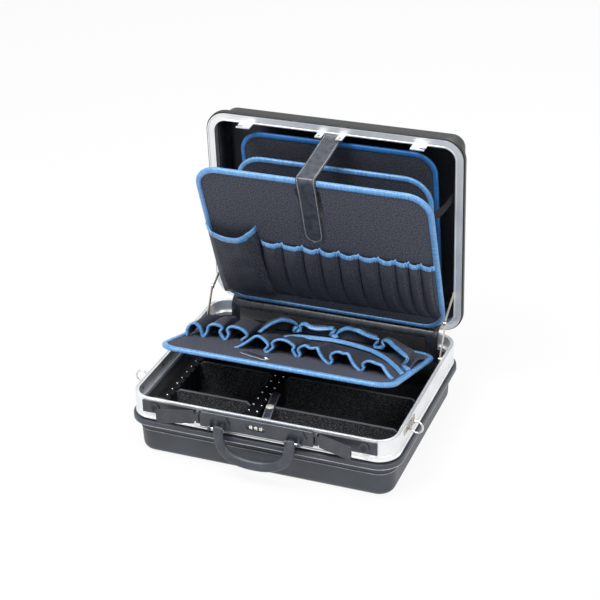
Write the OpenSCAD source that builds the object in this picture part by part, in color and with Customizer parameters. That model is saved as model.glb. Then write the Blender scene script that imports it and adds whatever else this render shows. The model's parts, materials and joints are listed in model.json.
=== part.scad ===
// Hard tool case: vacuum-formed ABS shells joined by aluminium frames, open on its stays.
// The origin is the centre of the base's underside, +Z is up and -Y is the latch side.

/* [Case] */
// Outside width of the aluminium frame
case_w = 465; // [440:1:490]
// Outside depth of the aluminium frame
case_d = 366; // [350:1:385]
// Height of the base, up to the face where the frames meet
base_h = 112; // [106:1:125]
// Depth of the lid, from the face where the frames meet to its back
lid_h = 68; // [68:1:80]
// Outside corner radius of the frame, seen from above
corner_r = 36; // [32:1:44]
// Angle that the lid stands open at
open_angle = 88; // [86:1:90]

/* [Shells] */
// Wall thickness of the ABS shells
shell_t = 3; // [2:0.5:3.5]
// How far the base's rim stands out from the frame
rim_out = 5.5; // [4:0.5:6]
// How far the lid's rim stands out from the frame
lid_rim_out = 2.5; // [2.5:0.5:4.5]
// Height of the shells' rims
rim_h = 10; // [9:0.5:12.5]
// How far the base's first step sets its wall in from the frame's face
step1_in = 3.5; // [3:0.5:5]
// How far the base's second step sets its wall in from the frame's face
step2_in = 6.5; // [6:0.5:8]
// Distance between the base's two steps
step_pitch = 9; // [8:0.5:11]
// How far the lid's first step sets its wall in from the frame's face
lid_step1_in = 6.5; // [5:0.5:8]
// How far the lid's second step sets its wall in from the frame's face
lid_step2_in = 11; // [9.5:0.5:12]
// Distance between the lid's two steps
lid_step_pitch = 14; // [12:0.5:15]
// Radius of the shell's edge at its floor
floor_r = 13; // [10:1:14]
// How far the wall leans in between its second step and that edge
draft = 1.5; // [1:0.25:2]
// Radius of the rim's two outer edges
rim_edge_r = 1.5; // [1:0.25:1.5]
// Thickness of the lining
liner_t = 1.5; // [1:0.25:2]

/* [Frames] */
// Height of the base frame's outer wall
frame_h = 38; // [34:1:38]
// Width of the base frame's top face
frame_lip = 6.2; // [6:0.1:7.5]
// Width of the lid frame's face
lid_face = 13.7; // [12.5:0.1:14.5]
// Wall thickness of the aluminium frames
frame_t = 1.6; // [1.2:0.1:1.8]
// Gap left between the frames when the lid is shut
shut_gap = 0.4; // [0.3:0.1:0.8]
// Distance of the base frame's inner ledge below its top face
ledge_down = 23.8; // [23:0.1:25]
// How far the inner ledge reaches in from the frame's outer face
ledge_in = 10.2; // [9.9:0.1:11]
// Height of the lid frame's inner wall
lid_lip_h = 15; // [13:0.5:15]

/* [Lid hinge] */
// Distance of the hinge axis behind the frame's rear face
hinge_out = 5.8; // [5.6:0.1:6.5]
// Distance of the hinge axis below the face where the frames meet
hinge_down = 5.5; // [5:0.1:6]
// Outside radius of a hinge knuckle
knuckle_r = 3.4; // [3:0.1:3.8]
// Radius of the hinge pins
hinge_pin_r = 1.5; // [1.2:0.1:1.8]
// Radial running clearance of every pin in its bore
pin_clear = 0.05; // [0.03:0.01:0.08]
// Length of one hinge
hinge_len = 60; // [45:1:80]
// Distance from the middle to an outer hinge
hinge_x = 150; // [110:1:160]

/* [Tool panels] */
// Thickness of a fabric-covered tool panel
panel_t = 4; // [3:0.25:4.5]
// Radius of the piping round a tool panel
pipe_r = 3.2; // [2.6:0.1:3.4]
// How much narrower than the frame the front lid panel and the base panel are
wide_panel_less = 42; // [40:1:60]
// How much narrower than the frame the two inner lid panels are
inner_panel_less = 97; // [80:1:120]
// How much shorter than the frame's depth the front lid panel is
front_panel_less = 45; // [42:1:60]
// How much shorter than the frame's depth the middle lid panel is
middle_panel_less = 86; // [76:1:106]
// How much shorter than the frame's depth the rear lid panel is
rear_panel_less = 50; // [46:1:66]
// How much shorter than the frame's depth the base panel is
base_panel_less = 94; // [90:1:116]
// Tilt of the base tool panel, front edge raised
base_panel_tilt = 18; // [14:1:19]
// Height of the base tool panel's pockets at their mouths
pocket_rise = 22; // [16:1:24]
// Depth of the front lid panel's large pocket at its mouth
large_pocket_depth = 24; // [18:1:26]
// Depth of the front lid panel's small pockets at their mouths
small_pocket_depth = 8; // [6:0.5:11]

/* [Compartments] */
// Height of the divider boards
divider_h = 57; // [45:1:58]
// Thickness of a cross divider
divider_t = 5; // [3:0.5:6]
// Distance of the centre beam from the middle of the case
beam_x = -49; // [-70:1:-46]
// Width of the centre beam
beam_w = 22; // [18:1:28]
// Distance of the foremost slot from the frame's front face
slot_front_in = 77; // [75:1:85]
// Distance of the rearmost slot from the frame's rear face
slot_rear_in = 49; // [47:1:60]
// Number of slots in a divider rail
slot_count = 13; // [10:1:13]
// Slot that holds the front pair of cross dividers, counted from the front
front_slot = 3; // [2:1:4]
// Slot that holds the middle pair of cross dividers
middle_slot = 8; // [6:1:9]

/* [Handle and latches] */
// Distance of the console's ends from the sides of the frame
console_in = 133; // [132:0.5:136]
// Height of the console
console_h = 29; // [28:0.5:30]
// Thickness of the console
console_t = 7; // [6.5:0.5:8]
// Distance of the handle's arms from the console's ends
handle_in = 32.5; // [30:0.5:36]
// Radius of the grip
grip_r = 11; // [9:0.5:12]
// Angle that the two latch flaps stand open at
flap_open = 17; // [12:1:20]
// Length of a latch flap, from its pin to its tip
flap_l = 69; // [60:1:70]
// Height of a latch flap
flap_h = 25; // [24:0.5:27]
// Distance of a lock cylinder from the side of the frame
lock_in = 49; // [47:0.5:50.5]
// Travel of a latch bolt
bolt_travel = 8; // [6:0.5:9]
// Distance of a latch striker from the side of the frame
striker_in = 75.5; // [75.5:0.5:78.5]
// Outside radius of a carrying ring
ring_r = 12.5; // [11:0.5:14]

/* [Stays] */
// Length of a stay's link between its pivots
stay_link = 62; // [62:0.5:64]
// Width of a stay's link
stay_w = 9; // [8:0.5:11]
// Thickness of a stay's link
stay_t = 1.5; // [1:0.25:2]

/* [Hidden] */
$fn = 48;
soft_gap = 0.3;

// Heights and faces that several pieces share
half_w = case_w / 2;
half_d = case_d / 2;
front_y = -half_d;
mate_z = base_h;
lid_z = mate_z + shut_gap;
shut_top = mate_z + lid_h;
hinge_y = half_d + hinge_out;
hinge_z = mate_z - hinge_down;

// Shells and frames
frame_bottom = mate_z - frame_h;
rim_top = frame_bottom - 3.5;
floor_in = step2_in + draft + floor_r;
lid_floor_in = lid_step2_in + draft + floor_r;
neck_in = frame_t + 0.4;
ledge_z = mate_z - ledge_down;
ledge_drop = 5;
lip_out = 1.2;
groove_z = frame_bottom + 10;
lid_plate_t = 1.8;
lid_rim_z = lid_z + lid_plate_t + 0.2;
shell_seat_in = 4;
liner_top_in = neck_in + shell_t + 1.8;
floor_top = shell_t + soft_gap + liner_t;
rivet_r = 2.2;

// Tool panels and what lies along the frame's sides
front_w = case_w - wide_panel_less;
front_h = case_d - front_panel_less;
inner_w = case_w - inner_panel_less;
middle_h = case_d - middle_panel_less;
rear_h = case_d - rear_panel_less;
base_panel_w = case_w - wide_panel_less;
base_panel_l = case_d - base_panel_less;
strip_l = case_w - 165;

// Dividers: the rails stand on the lined floor, and the boards on it between them
slot_front_y = front_y + slot_front_in;
slot_pitch = (case_d - slot_front_in - slot_rear_in) / (slot_count - 1);
divider_z = floor_top + 0.2;
divider_top = divider_z + divider_h;
rail_x = half_w - 32.5;
rail_w = 14;
rail_h = divider_h - 2;
slot_depth = 4.4;
stud_r = 3.2;
snap_strap_t = 2;
strap_turn = 9.2;

// Front hardware, all at the height of the console's middle
console_l = case_w - 2 * console_in;
console_z = mate_z - 1 - console_h / 2;
console_y = front_y - console_t;
lock_z = mate_z - 14;
wheel_r = 3.9;
wheel_t = 4;
wheel_pitch = 8.75;
axle_r = 1;
wheel_y = front_y - wheel_r - 0.1;
handle_y = console_y - 10;
handle_z = mate_z - 22;
handle_x = console_l / 2 - handle_in;
handle_bow_r = handle_x - 4;
arm_w = 18;
arm_t = 5;
eye_r = 4.2;
handle_pin_r = 1.5;
cheek_t = 3;
latch_t = 2;
latch_y = front_y - latch_t;
latch_h = 22;
flap_t = 2.5;
flap_pin_x = console_l / 2 + 4.5;
flap_pin_y = front_y - 4.5;
flap_pin_r = 1.2;
lock_x = half_w - lock_in;
lock_r = 5.5;
lock_ring_r = 9;
bolt_y = front_y + 14;
bolt_z = mate_z - 11;
bolt_size = 4;
striker_w = 25;
striker_t = 2;
striker_drop = 17;
striker_x = half_w - striker_in;
bolt_rest_x = striker_x + striker_w / 2 + 1;
bolt_l = 26;

// Carrying rings: each bar stands off the frame by the thickness of the ring's wire
ring_wire_r = 1.6;
ring_bar_r = 1.3;
ring_bar_x = half_w + 0.3 + 2 * ring_wire_r + 0.1 + ring_bar_r;
ring_bar_z = mate_z - 9.5;
ring_y = front_y + 79;
ring_reach = ring_r - 2 * ring_wire_r - ring_bar_r - 0.1;
ring_droop = 15;
bracket_l = 53;
bracket_h = 10;
bracket_t = 1.5;

// Tool panels: the lid's three hang from their hinge edges at these places in the shut lid,
// as distances in from the rear face and above the face where the frames meet
front_hang = [13.8, -16.7, 17.5];
middle_hang = [23.9, lid_h - 43.15, 8];
rear_hang = [23.4, lid_h - 13.45, 7.8];
panel_corner_r = 50;
rear_corner_r = 42;
base_corner_r = 36.5;
base_panel_x = -2;
base_pivot = [half_d - 36, mate_z - 27.1];

// Pockets of the front panel, whose places are shares of the panel's width and height
small_edges = [for (share = [-0.272, -0.18, -0.09, -0.017, 0.066, 0.151, 0.236, 0.31, 0.366, 0.416, 0.475])
  share * front_w];
small_root = 0.1 * front_h;
small_mouth = 0.51 * front_h;
large_edges = [-0.48 * front_w, -0.2884 * front_w];
large_root = 0.118 * front_h;
large_mouth = 0.58 * front_h;
cloth_t = 1.5;

// Stays: where the links turn on the base and in the shut lid. The knee lies behind the line
// between them, at the same distance from both.
stay_base_at = [half_d - 71, mate_z - 10];
stay_lid_at = [half_d - 73.4, mate_z + 4.5];
stay_span = shut_to_open(stay_lid_at) - stay_base_at;
stay_bow = sqrt(stay_link * stay_link - stay_span * stay_span / 4);
stay_knee_at = stay_base_at + stay_span / 2 + [-stay_span[1], stay_span[0]] / norm(stay_span) * stay_bow;
stay_outer_x = half_w - lid_face - 0.3;
stay_pin_r = 1.8;
stay_head_r = 3;
stay_head_t = 0.6;

// ---------- shared shapes ----------

// Sweeps a profile round the case's rounded rectangle. The profile's x is measured outwards
// from the frame's outer face, and its y is the height.
module round_case() {
  for (sx = [-1, 1], sy = [-1, 1])
    translate([sx * (half_w - corner_r), sy * (half_d - corner_r), 0])
      rotate([0, 0, sx > 0 ? (sy > 0 ? 0 : -90) : (sy > 0 ? 90 : 180)])
        rotate_extrude(angle = 90) translate([corner_r, 0]) children();
  for (s = [0, 1]) {
    rotate([0, 0, s * 180]) translate([half_w, half_d - corner_r, 0])
      rotate([90, 0, 0]) linear_extrude(case_d - 2 * corner_r) children();
    rotate([0, 0, s * 180]) translate([-(half_w - corner_r), half_d, 0])
      rotate([90, 0, 90]) linear_extrude(case_w - 2 * corner_r) children();
  }
}

// A rounded-rectangle plate, inset from the frame's outer face
module case_plate(inset, z, t) {
  r = corner_r - inset;
  translate([0, 0, z]) linear_extrude(t) round_rect(case_w - 2 * inset, case_d - 2 * inset, r);
}

module round_rect(w, d, r) {
  square([w - 2 * r, d], center = true);
  square([w, d - 2 * r], center = true);
  for (sx = [-1, 1], sy = [-1, 1]) translate([sx * (w / 2 - r), sy * (d / 2 - r)]) circle(r);
}

// Points of a quarter arc from angle a0 to a1 about a centre
function arc(c, r, a0, a1, n = 8) =
  [for (i = [0 : n]) [c[0] + r * cos(a0 + (a1 - a0) * i / n), c[1] + r * sin(a0 + (a1 - a0) * i / n)]];

// Opens what is drawn shut, about the hinge axis
module opened() {
  translate([0, hinge_y, hinge_z]) rotate([-open_angle, 0, 0])
    translate([0, -hinge_y, -hinge_z]) children();
}

// A cylinder along X, Y or Z, centred on a point
module rod_x(r, l) { rotate([0, 90, 0]) cylinder(r = r, h = l, center = true); }
module rod_y(r, l) { rotate([90, 0, 0]) cylinder(r = r, h = l, center = true); }

// Puts what is drawn on the right on the left when s is -1
module sided(s) { mirror([s < 0 ? 1 : 0, 0, 0]) children(); }

// A shallow domed head on the plane z = 0
module dome(r, h) {
  ball = (r * r + h * h) / (2 * h);
  reach = asin(r / ball);
  rotate_extrude() polygon(concat([[0, 0], [r, 0]],
    [for (i = [1 : 3]) [ball * sin(reach * (3 - i) / 3), h - ball + ball * cos(reach * (3 - i) / 3)]]));
}

// ---------- shells and frames ----------

// A shell's wall from its rim to its floor, with heights measured from the floor's outside.
// rim is the height of the rim's face, steps are how far the rim stands out, how far the two
// steps set the wall in and how far they are apart, and outer and inner are the wall's ends.
module shell_profile(rim, steps, outer, inner) {
  t = shell_t;
  out = steps[0];
  wall1 = -steps[1];
  wall2 = -steps[2];
  s1 = rim - rim_h;
  s2 = s1 - steps[3];
  edge = [wall2 - draft - floor_r, floor_r];
  polygon(concat(
    outer, [[out - rim_edge_r, rim]],
    arc([out - rim_edge_r, rim - rim_edge_r], rim_edge_r, 90, 0, 4),
    arc([out - rim_edge_r, s1 + rim_edge_r], rim_edge_r, 0, -90, 4),
    [[wall1, s1], [wall1, s2 + 1], [wall1 - 1, s2], [wall2, s2]],
    arc(edge, floor_r, 0, -90),
    [[edge[0] - 2, 0], [edge[0] - 2, t]],
    arc(edge, floor_r - t, -90, 0),
    [[wall2 - t, s2 + t], [wall1 - t, s2 + t], [wall1 - t, s1 + t],
     [out - t, s1 + t], [out - t, rim - t]],
    inner));
}

module base_shell() {
  top = ledge_z - 0.2;
  neck_x = -neck_in - shell_t;
  color([0.30, 0.32, 0.34]) {
    round_case() shell_profile(rim_top, [rim_out, step1_in, step2_in, step_pitch],
      [[-neck_in, top], [-neck_in, rim_top]], [[neck_x, rim_top - shell_t], [neck_x, top]]);
    case_plate(floor_in, 0, shell_t);
  }
}

module lid_shell() {
  rim = shut_top - lid_rim_z;
  color([0.14, 0.14, 0.15]) opened() lid_up() {
    round_case() shell_profile(rim, [lid_rim_out, lid_step1_in, lid_step2_in, lid_step_pitch],
      [[-shell_seat_in, rim]], [[-shell_seat_in, rim - shell_t]]);
    case_plate(lid_floor_in, 0, shell_t);
  }
}

// Turns a shape measured up from the lid's back into the shut lid
module lid_up() { translate([0, 0, shut_top]) mirror([0, 0, 1]) children(); }

// The base frame is one extrusion: an outer wall with a shallow groove and a rolled bottom
// lip, a top face with a groove between two lips, and an inner wall that ends in a ledge
module base_frame() {
  t = frame_t;
  top = mate_z;
  color([0.82, 0.83, 0.85]) round_case() polygon([
    [0, top], [0, groove_z + 1.5], [-0.5, groove_z + 1], [-0.5, groove_z - 1], [0, groove_z - 1.5],
    [0, frame_bottom + 3], [lip_out, frame_bottom + 2.4], [lip_out, frame_bottom],
    [-t, frame_bottom], [-t, top - t - 0.8], [-frame_lip + t, top - t - 0.8],
    [-frame_lip + t, ledge_z], [-ledge_in + t, ledge_z], [-ledge_in + t, ledge_z - ledge_drop],
    [-ledge_in, ledge_z - ledge_drop], [-ledge_in, ledge_z + t], [-frame_lip, ledge_z + t],
    [-frame_lip, top], [-frame_lip + t, top], [-frame_lip + t + 0.5, top - 0.8],
    [-t - 0.5, top - 0.8], [-t, top]]);
}

// The lid frame has a broad face with a groove between its two lips, an inner wall, and a rib
// that holds the shell's edge
module lid_frame() {
  z = lid_z;
  rib = -shell_seat_in - 0.6;
  color([0.82, 0.83, 0.85]) opened() round_case() polygon([
    [0, z], [-2, z], [-2.6, z + 1], [-lid_face + 2.5, z + 1], [-lid_face + 1.9, z], [-lid_face, z],
    [-lid_face, z + lid_lip_h], [-lid_face + 1.4, z + lid_lip_h], [-lid_face + 1.4, z + 2.6],
    [rib - 1.4, z + 2.6], [rib - 1.4, z + 9], [rib, z + 9], [rib, z + lid_plate_t],
    [0, z + lid_plate_t]]);
}

// Thin lining inside a shell: wall is its outer line from the top down to the rounded edge,
// and inset is how far in from the frame's face its flat floor starts
module liner_profile(wall, inset) {
  t = liner_t;
  face = shell_t + soft_gap;
  edge = [-inset, floor_r];
  polygon(concat(
    wall,
    arc(edge, floor_r - face, 0, -90),
    [[-inset - 2, face], [-inset - 2, face + t]],
    arc(edge, floor_r - face - t, -90, 0),
    [for (i = [len(wall) - 1 : -1 : 1]) [wall[i][0] - t, wall[i][1] + t]],
    [[wall[0][0] - t, wall[0][1]]]));
}

module base_liner() {
  s1 = rim_top - rim_h + shell_t;
  s2 = s1 - step_pitch;
  a = -step1_in - shell_t - 0.4;
  color([0.06, 0.06, 0.065]) {
    round_case() liner_profile([[-liner_top_in, ledge_z - soft_gap], [-liner_top_in, s1 + 3],
      [a, s1 + 0.6], [a, s2 + 0.6], [-step2_in - shell_t - 0.6, s2 + soft_gap]], floor_in);
    case_plate(floor_in, shell_t + soft_gap, liner_t);
  }
}

// The lid's lining is a plain wall: its distance in from the frame's face, by the height above
// the lid's back
lid_lining = [[floor_r, lid_floor_in - floor_r + shell_t + soft_gap],
  [lid_h - lid_lip_h - lid_step_pitch, lid_step2_in + shell_t + 0.6],
  [lid_h - lid_lip_h - 1, lid_face + 0.7]];

function lid_lining_in(h) = lookup(h, lid_lining) + liner_t;

module lid_liner() {
  color([0.05, 0.05, 0.055]) opened() lid_up() {
    round_case() liner_profile([for (i = [2, 1]) [-lid_lining[i][1], lid_lining[i][0]]],
      lid_floor_in);
    case_plate(lid_floor_in, shell_t + soft_gap, liner_t);
  }
}

// ---------- compartments ----------

function slot_y(n) = slot_front_y + (n - 1) * slot_pitch;

// Each rail is one bar with a slot for every place that a divider can take, and its lower
// outer edge is cut away to clear the rounded floor
module divider_rails() {
  l = (slot_count - 1) * slot_pitch + 14;
  gap = divider_t + 0.6;
  color([0.10, 0.10, 0.11]) for (s = [-1, 1]) sided(s) difference() {
    translate([rail_x, slot_front_y + l - 7, divider_z]) rotate([90, 0, 0]) linear_extrude(l)
      polygon([[0, 0], [5, 0], [rail_w, 9], [rail_w, rail_h], [0, rail_h]]);
    for (n = [1 : slot_count])
      translate([rail_x - 1, slot_y(n) - gap / 2, divider_z - 1])
        cube([slot_depth + 1, gap, rail_h + 2]);
  }
}

// The beam is a folded channel, open underneath
module centre_beam() {
  l = (slot_count - 1) * slot_pitch + 24;
  t = 3;
  color([0.10, 0.10, 0.11]) translate([beam_x, slot_front_y + l - 12, divider_z])
    rotate([90, 0, 0]) linear_extrude(l) difference() {
      translate([-beam_w / 2, 0]) square([beam_w, rail_h]);
      translate([-beam_w / 2 + t, -1]) square([beam_w - 2 * t, rail_h - t + 1]);
    }
}

module slot_studs() {
  top = divider_z + rail_h;
  rows = [-rail_x - 9, beam_x - beam_w / 2 + 3.5, beam_x + beam_w / 2 - 3.5, rail_x + 9];
  color([0.93, 0.93, 0.92]) for (x = rows, n = [1 : slot_count])
    translate([x, slot_y(n), top]) dome(stud_r, 2.4);
}

// A cross divider between two places along X, with its top corners cut off
module divider(x0, x1, n) {
  c = 9;
  translate([0, slot_y(n) + divider_t / 2, divider_z]) rotate([90, 0, 0]) linear_extrude(divider_t)
    polygon([[x0 + 2, 0], [x1 - 2, 0], [x1, 2], [x1, divider_h - c], [x1 - c, divider_h],
      [x0 + c, divider_h], [x0, divider_h - c], [x0, 2]]);
}

module divider_left(n) {
  color([0.09, 0.09, 0.10]) divider(-rail_x - slot_depth + 0.4, beam_x - beam_w / 2 - 0.3, n);
}

module divider_right(n) {
  color([0.09, 0.09, 0.10]) divider(beam_x + beam_w / 2 + 0.3, rail_x + slot_depth - 0.4, n);
}

module divider_front_left() { divider_left(front_slot); }
module divider_front_right() { divider_right(front_slot); }
module divider_middle_left() { divider_left(middle_slot); }
module divider_middle_right() { divider_right(middle_slot); }

// A leather tab that lies across the front divider beside the beam
module snap_strap() {
  color([0.08, 0.08, 0.085]) translate([-25, slot_y(front_slot), divider_top + 0.3])
    rotate([0, 0, strap_turn]) linear_extrude(snap_strap_t) {
      translate([-8, -37]) square([16, 79]);
      translate([0, 42]) circle(8);
    }
}

module snap_button() {
  color([0.95, 0.95, 0.94]) translate([-25, slot_y(front_slot), divider_top + 0.3 + snap_strap_t])
    rotate([0, 0, strap_turn]) translate([0, -6, 0]) {
      cylinder(r = 7, h = 1);
      translate([0, 0, 1]) dome(5.4, 1.2);
    }
}

// ---------- front hardware ----------

// The console has rounded front edges, a recess with three slots for the number wheels, and a
// bore for their axle
module console() {
  r = 2.5;
  color([0.12, 0.12, 0.13]) difference() {
    intersection() {
      translate([0, front_y, console_z]) rotate([90, 0, 0]) linear_extrude(console_t)
        round_rect(console_l, console_h, 5);
      translate([-console_l / 2, front_y, console_z]) rotate([90, 0, 90])
        linear_extrude(console_l) polygon(concat([[0, -console_h / 2]],
          arc([-console_t + r, -console_h / 2 + r], r, -90, -180, 4),
          arc([-console_t + r, console_h / 2 - r], r, 180, 90, 4), [[0, console_h / 2]]));
    }
    translate([0, console_y + 2, lock_z]) rotate([90, 0, 0]) linear_extrude(3) {
      square([24, 10], center = true);
      for (s = [-1, 1]) translate([s * 12, 0]) circle(5);
    }
    for (k = [-1 : 1])
      translate([k * wheel_pitch - wheel_t / 2 - 0.3, console_y - 1, lock_z - wheel_r - 0.3])
        cube([wheel_t + 0.6, console_t + 2, 2 * wheel_r + 0.6]);
    translate([0, wheel_y, lock_z]) rod_x(axle_r + pin_clear, 31);
  }
}

module number_wheel(k) {
  color([0.90, 0.90, 0.88]) translate([k * wheel_pitch, wheel_y, lock_z]) difference() {
    rod_x(wheel_r, wheel_t);
    rod_x(axle_r + pin_clear, wheel_t + 1);
    for (a = [0 : 36 : 324]) rotate([a, 0, 0]) translate([0, 0, wheel_r + 0.15]) rod_x(0.45, wheel_t + 1);
  }
}

module number_wheel_1() { number_wheel(-1); }
module number_wheel_2() { number_wheel(0); }
module number_wheel_3() { number_wheel(1); }

module number_axle() {
  color([0.75, 0.76, 0.78]) translate([0, wheel_y, lock_z]) rod_x(axle_r, 30);
}

// A six-sided plate with two cheeks that hold the handle's pin
module handle_bracket(s) {
  w = 44;
  h = 25;
  plate_t = 2.5;
  translate([s * handle_x, console_y, handle_z]) difference() {
    union() {
      translate([0, 0, console_z - handle_z]) rotate([90, 0, 0]) linear_extrude(plate_t)
        polygon([[-w / 2, 0], [-w / 2 + 7, h / 2], [w / 2 - 7, h / 2],
          [w / 2, 0], [w / 2 - 7, -h / 2], [-w / 2 + 7, -h / 2]]);
      for (c = [-1, 1]) translate([c * (arm_w + cheek_t + 1) / 2, 0, 0]) {
        translate([0, handle_y - console_y, 0]) rod_x(eye_r + 0.6, cheek_t);
        translate([-cheek_t / 2, handle_y - console_y, -eye_r - 0.6])
          cube([cheek_t, console_y - handle_y, 2 * eye_r + 5]);
      }
    }
    translate([0, handle_y - console_y, 0]) rod_x(handle_pin_r + pin_clear, w + 2);
  }
}

module handle_brackets() {
  color([0.16, 0.16, 0.17]) for (s = [-1, 1]) handle_bracket(s);
}

module handle_pins() {
  color([0.86, 0.87, 0.89]) for (s = [-1, 1])
    translate([s * handle_x, handle_y, handle_z]) rod_x(handle_pin_r, arm_w + 2 * cheek_t + 3);
}

// The grip is an arc of a circle, and the two arms are flat and curve in to its ends
module handle() {
  bow_a = 47;
  bow_up = 11;
  end = [handle_bow_r * sin(bow_a), -handle_bow_r * cos(bow_a) + bow_up];
  out = [sin(bow_a), -cos(bow_a)];
  color([0.10, 0.10, 0.11]) {
    translate([0, handle_y - 4, handle_z + bow_up]) rotate([90, 0, 0]) rotate([0, 0, -90 - bow_a])
      rotate_extrude(angle = 2 * bow_a) translate([handle_bow_r, 0]) circle(grip_r);
    for (s = [-1, 1]) sided(s) translate([0, handle_y, handle_z]) {
      translate([end[0], -4, end[1]]) sphere(grip_r + 0.6);
      difference() {
        union() {
          translate([handle_x, 0, 0]) rod_x(eye_r, arm_w);
          translate([0, arm_t / 2, 0]) rotate([90, 0, 0]) linear_extrude(arm_t)
            polygon(concat(
              [[handle_x - arm_w / 2, 0], [handle_x + arm_w / 2, 0]],
              arc([handle_x + arm_w / 2 - 22, -10], 22, 0, -48, 6),
              [[end[0] + out[0] * 9, end[1] + out[1] * 9], [end[0] - out[0] * 9, end[1] - out[1] * 9]],
              arc([handle_x - arm_w / 2 - 16, -8], 16, -30, 0, 4)));
        }
        translate([handle_x, 0, 0]) rod_x(handle_pin_r + pin_clear, arm_w + 2);
      }
    }
  }
}

// The plate on the frame carries the flap's pin between two lugs and the lock cylinder in a
// raised ring; behind the frame's wall a guide holds the bolt
module latch_plate(s) {
  x0 = console_l / 2 + 0.8;
  x1 = lock_x + 22;
  z0 = lock_z - latch_h / 2;
  lug_h = (latch_h - 14.4) / 2;
  color([0.14, 0.14, 0.15]) sided(s) {
    difference() {
      union() {
        translate([x0, latch_y, z0]) cube([x1 - x0, latch_t, latch_h]);
        for (z = [z0, z0 + latch_h - lug_h])
          translate([x0, flap_pin_y - 2.6, z]) cube([flap_pin_x - x0 + 2.6, front_y - flap_pin_y + 2.6, lug_h]);
        translate([lock_x, front_y - 2.5, lock_z]) rod_y(lock_ring_r, 5);
      }
      translate([flap_pin_x, flap_pin_y, z0 - 1]) cylinder(r = flap_pin_r + pin_clear, h = latch_h + 2);
      translate([lock_x, latch_y - 5, lock_z]) rod_y(lock_r + pin_clear, 10);
    }
    difference() {
      translate([bolt_rest_x + 4, front_y + frame_lip, bolt_z - 4.5])
        cube([bolt_l - 8, bolt_y - front_y - frame_lip + 5, 9]);
      translate([bolt_rest_x, bolt_y, bolt_z]) cube([60, 6, bolt_size + 0.4], center = true);
    }
  }
}

module latch_plate_left() { latch_plate(-1); }
module latch_plate_right() { latch_plate(1); }

// A flap is drawn shut, flat against its plate, and stands open about its pin
module latch_flap(s) {
  barrel = 14;
  r = 5;
  color([0.17, 0.17, 0.18]) sided(s) translate([flap_pin_x, flap_pin_y, lock_z])
    rotate([0, 0, -flap_open]) difference() {
      union() {
        cylinder(r = 2.5, h = barrel, center = true);
        translate([0, -1.5 + flap_t, 0]) rotate([90, 0, 0]) linear_extrude(flap_t)
          polygon(concat([[0, -barrel / 2], [5, -barrel / 2], [7, -flap_h / 2]],
            arc([flap_l - r, -flap_h / 2 + r], r, -90, 0, 4),
            arc([flap_l - r, flap_h / 2 - r], r, 0, 90, 4),
            [[7, flap_h / 2], [5, barrel / 2], [0, barrel / 2]]));
      }
      cylinder(r = flap_pin_r + pin_clear, h = barrel + 2, center = true);
      translate([flap_l + 7, -2.5, 0]) rod_y(9, 3);
    }
}

module latch_flap_left() { latch_flap(-1); }
module latch_flap_right() { latch_flap(1); }

module latch_pins() {
  color([0.80, 0.81, 0.83]) for (s = [-1, 1])
    translate([s * flap_pin_x, flap_pin_y, lock_z]) cylinder(r = flap_pin_r, h = latch_h, center = true);
}

module lock_cylinder(s) {
  color([0.85, 0.86, 0.88]) translate([s * lock_x, front_y, lock_z]) difference() {
    translate([0, -3.9, 0]) rod_y(lock_r, 3.6);
    translate([0, -5.5, 0]) cube([1.2, 3, 6.5], center = true);
  }
}

module lock_cylinder_left() { lock_cylinder(-1); }
module lock_cylinder_right() { lock_cylinder(1); }

module latch_bolt(s) {
  color([0.80, 0.81, 0.83]) sided(s) translate([bolt_rest_x, bolt_y - 2.75, bolt_z - bolt_size / 2])
    cube([bolt_l, 5.5, bolt_size]);
}

module latch_bolt_left() { latch_bolt(-1); }
module latch_bolt_right() { latch_bolt(1); }

// ---------- carrying rings and rivets ----------

// A plate on the frame's side, with two posts that hold a bar; the plate is open behind the
// bar so that the ring's wire can pass
module ring_bracket(s) {
  gap = 16;
  post = 3.5;
  wing = (bracket_l - gap) / 2;
  color([0.20, 0.20, 0.21]) sided(s) translate([half_w, ring_y, ring_bar_z]) for (k = [-1, 1]) {
    translate([0, k > 0 ? gap / 2 : -gap / 2 - wing, -bracket_h / 2]) cube([bracket_t, wing, bracket_h]);
    translate([0, k * (gap + post) / 2 - post / 2, -2.4])
      cube([ring_bar_x - half_w, post, 4.8]);
    translate([ring_bar_x - half_w, k * (gap / 4 + post / 4), 0]) rod_y(2.4 - 1.1, gap / 2 + post / 2);
    translate([ring_bar_x - half_w, k * (gap + post) / 2, 0]) rod_y(2.4, post);
  }
}

module ring_bracket_left() { ring_bracket(-1); }
module ring_bracket_right() { ring_bracket(1); }

// A round ring that hangs on its bar and leans on the frame
module carry_ring(s) {
  color([0.88, 0.89, 0.90]) sided(s) translate([ring_bar_x, ring_y, ring_bar_z])
    rotate([0, ring_droop, 0]) translate([ring_reach, 0, 0]) rotate([90, 0, 0])
      rotate_extrude() translate([ring_r - ring_wire_r, 0]) circle(ring_wire_r);
}

module carry_ring_left() { carry_ring(-1); }
module carry_ring_right() { carry_ring(1); }

// Domed rivets: two through each ring bracket, and a row along the inner wall of each side
module frame_rivets() {
  color([0.80, 0.81, 0.82]) for (s = [-1, 1]) sided(s) {
    for (k = [-1, 1])
      translate([half_w + bracket_t, ring_y + k * (bracket_l / 2 - 6), ring_bar_z])
        rotate([0, 90, 0]) dome(rivet_r, 0.9);
    for (y = [43, 123, 223])
      translate([half_w - frame_lip, front_y + y, mate_z - 10]) rotate([0, -90, 0]) dome(rivet_r, 0.9);
  }
}

// ---------- lid hinge ----------

hinge_places = [-hinge_x, 0, hinge_x];

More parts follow.
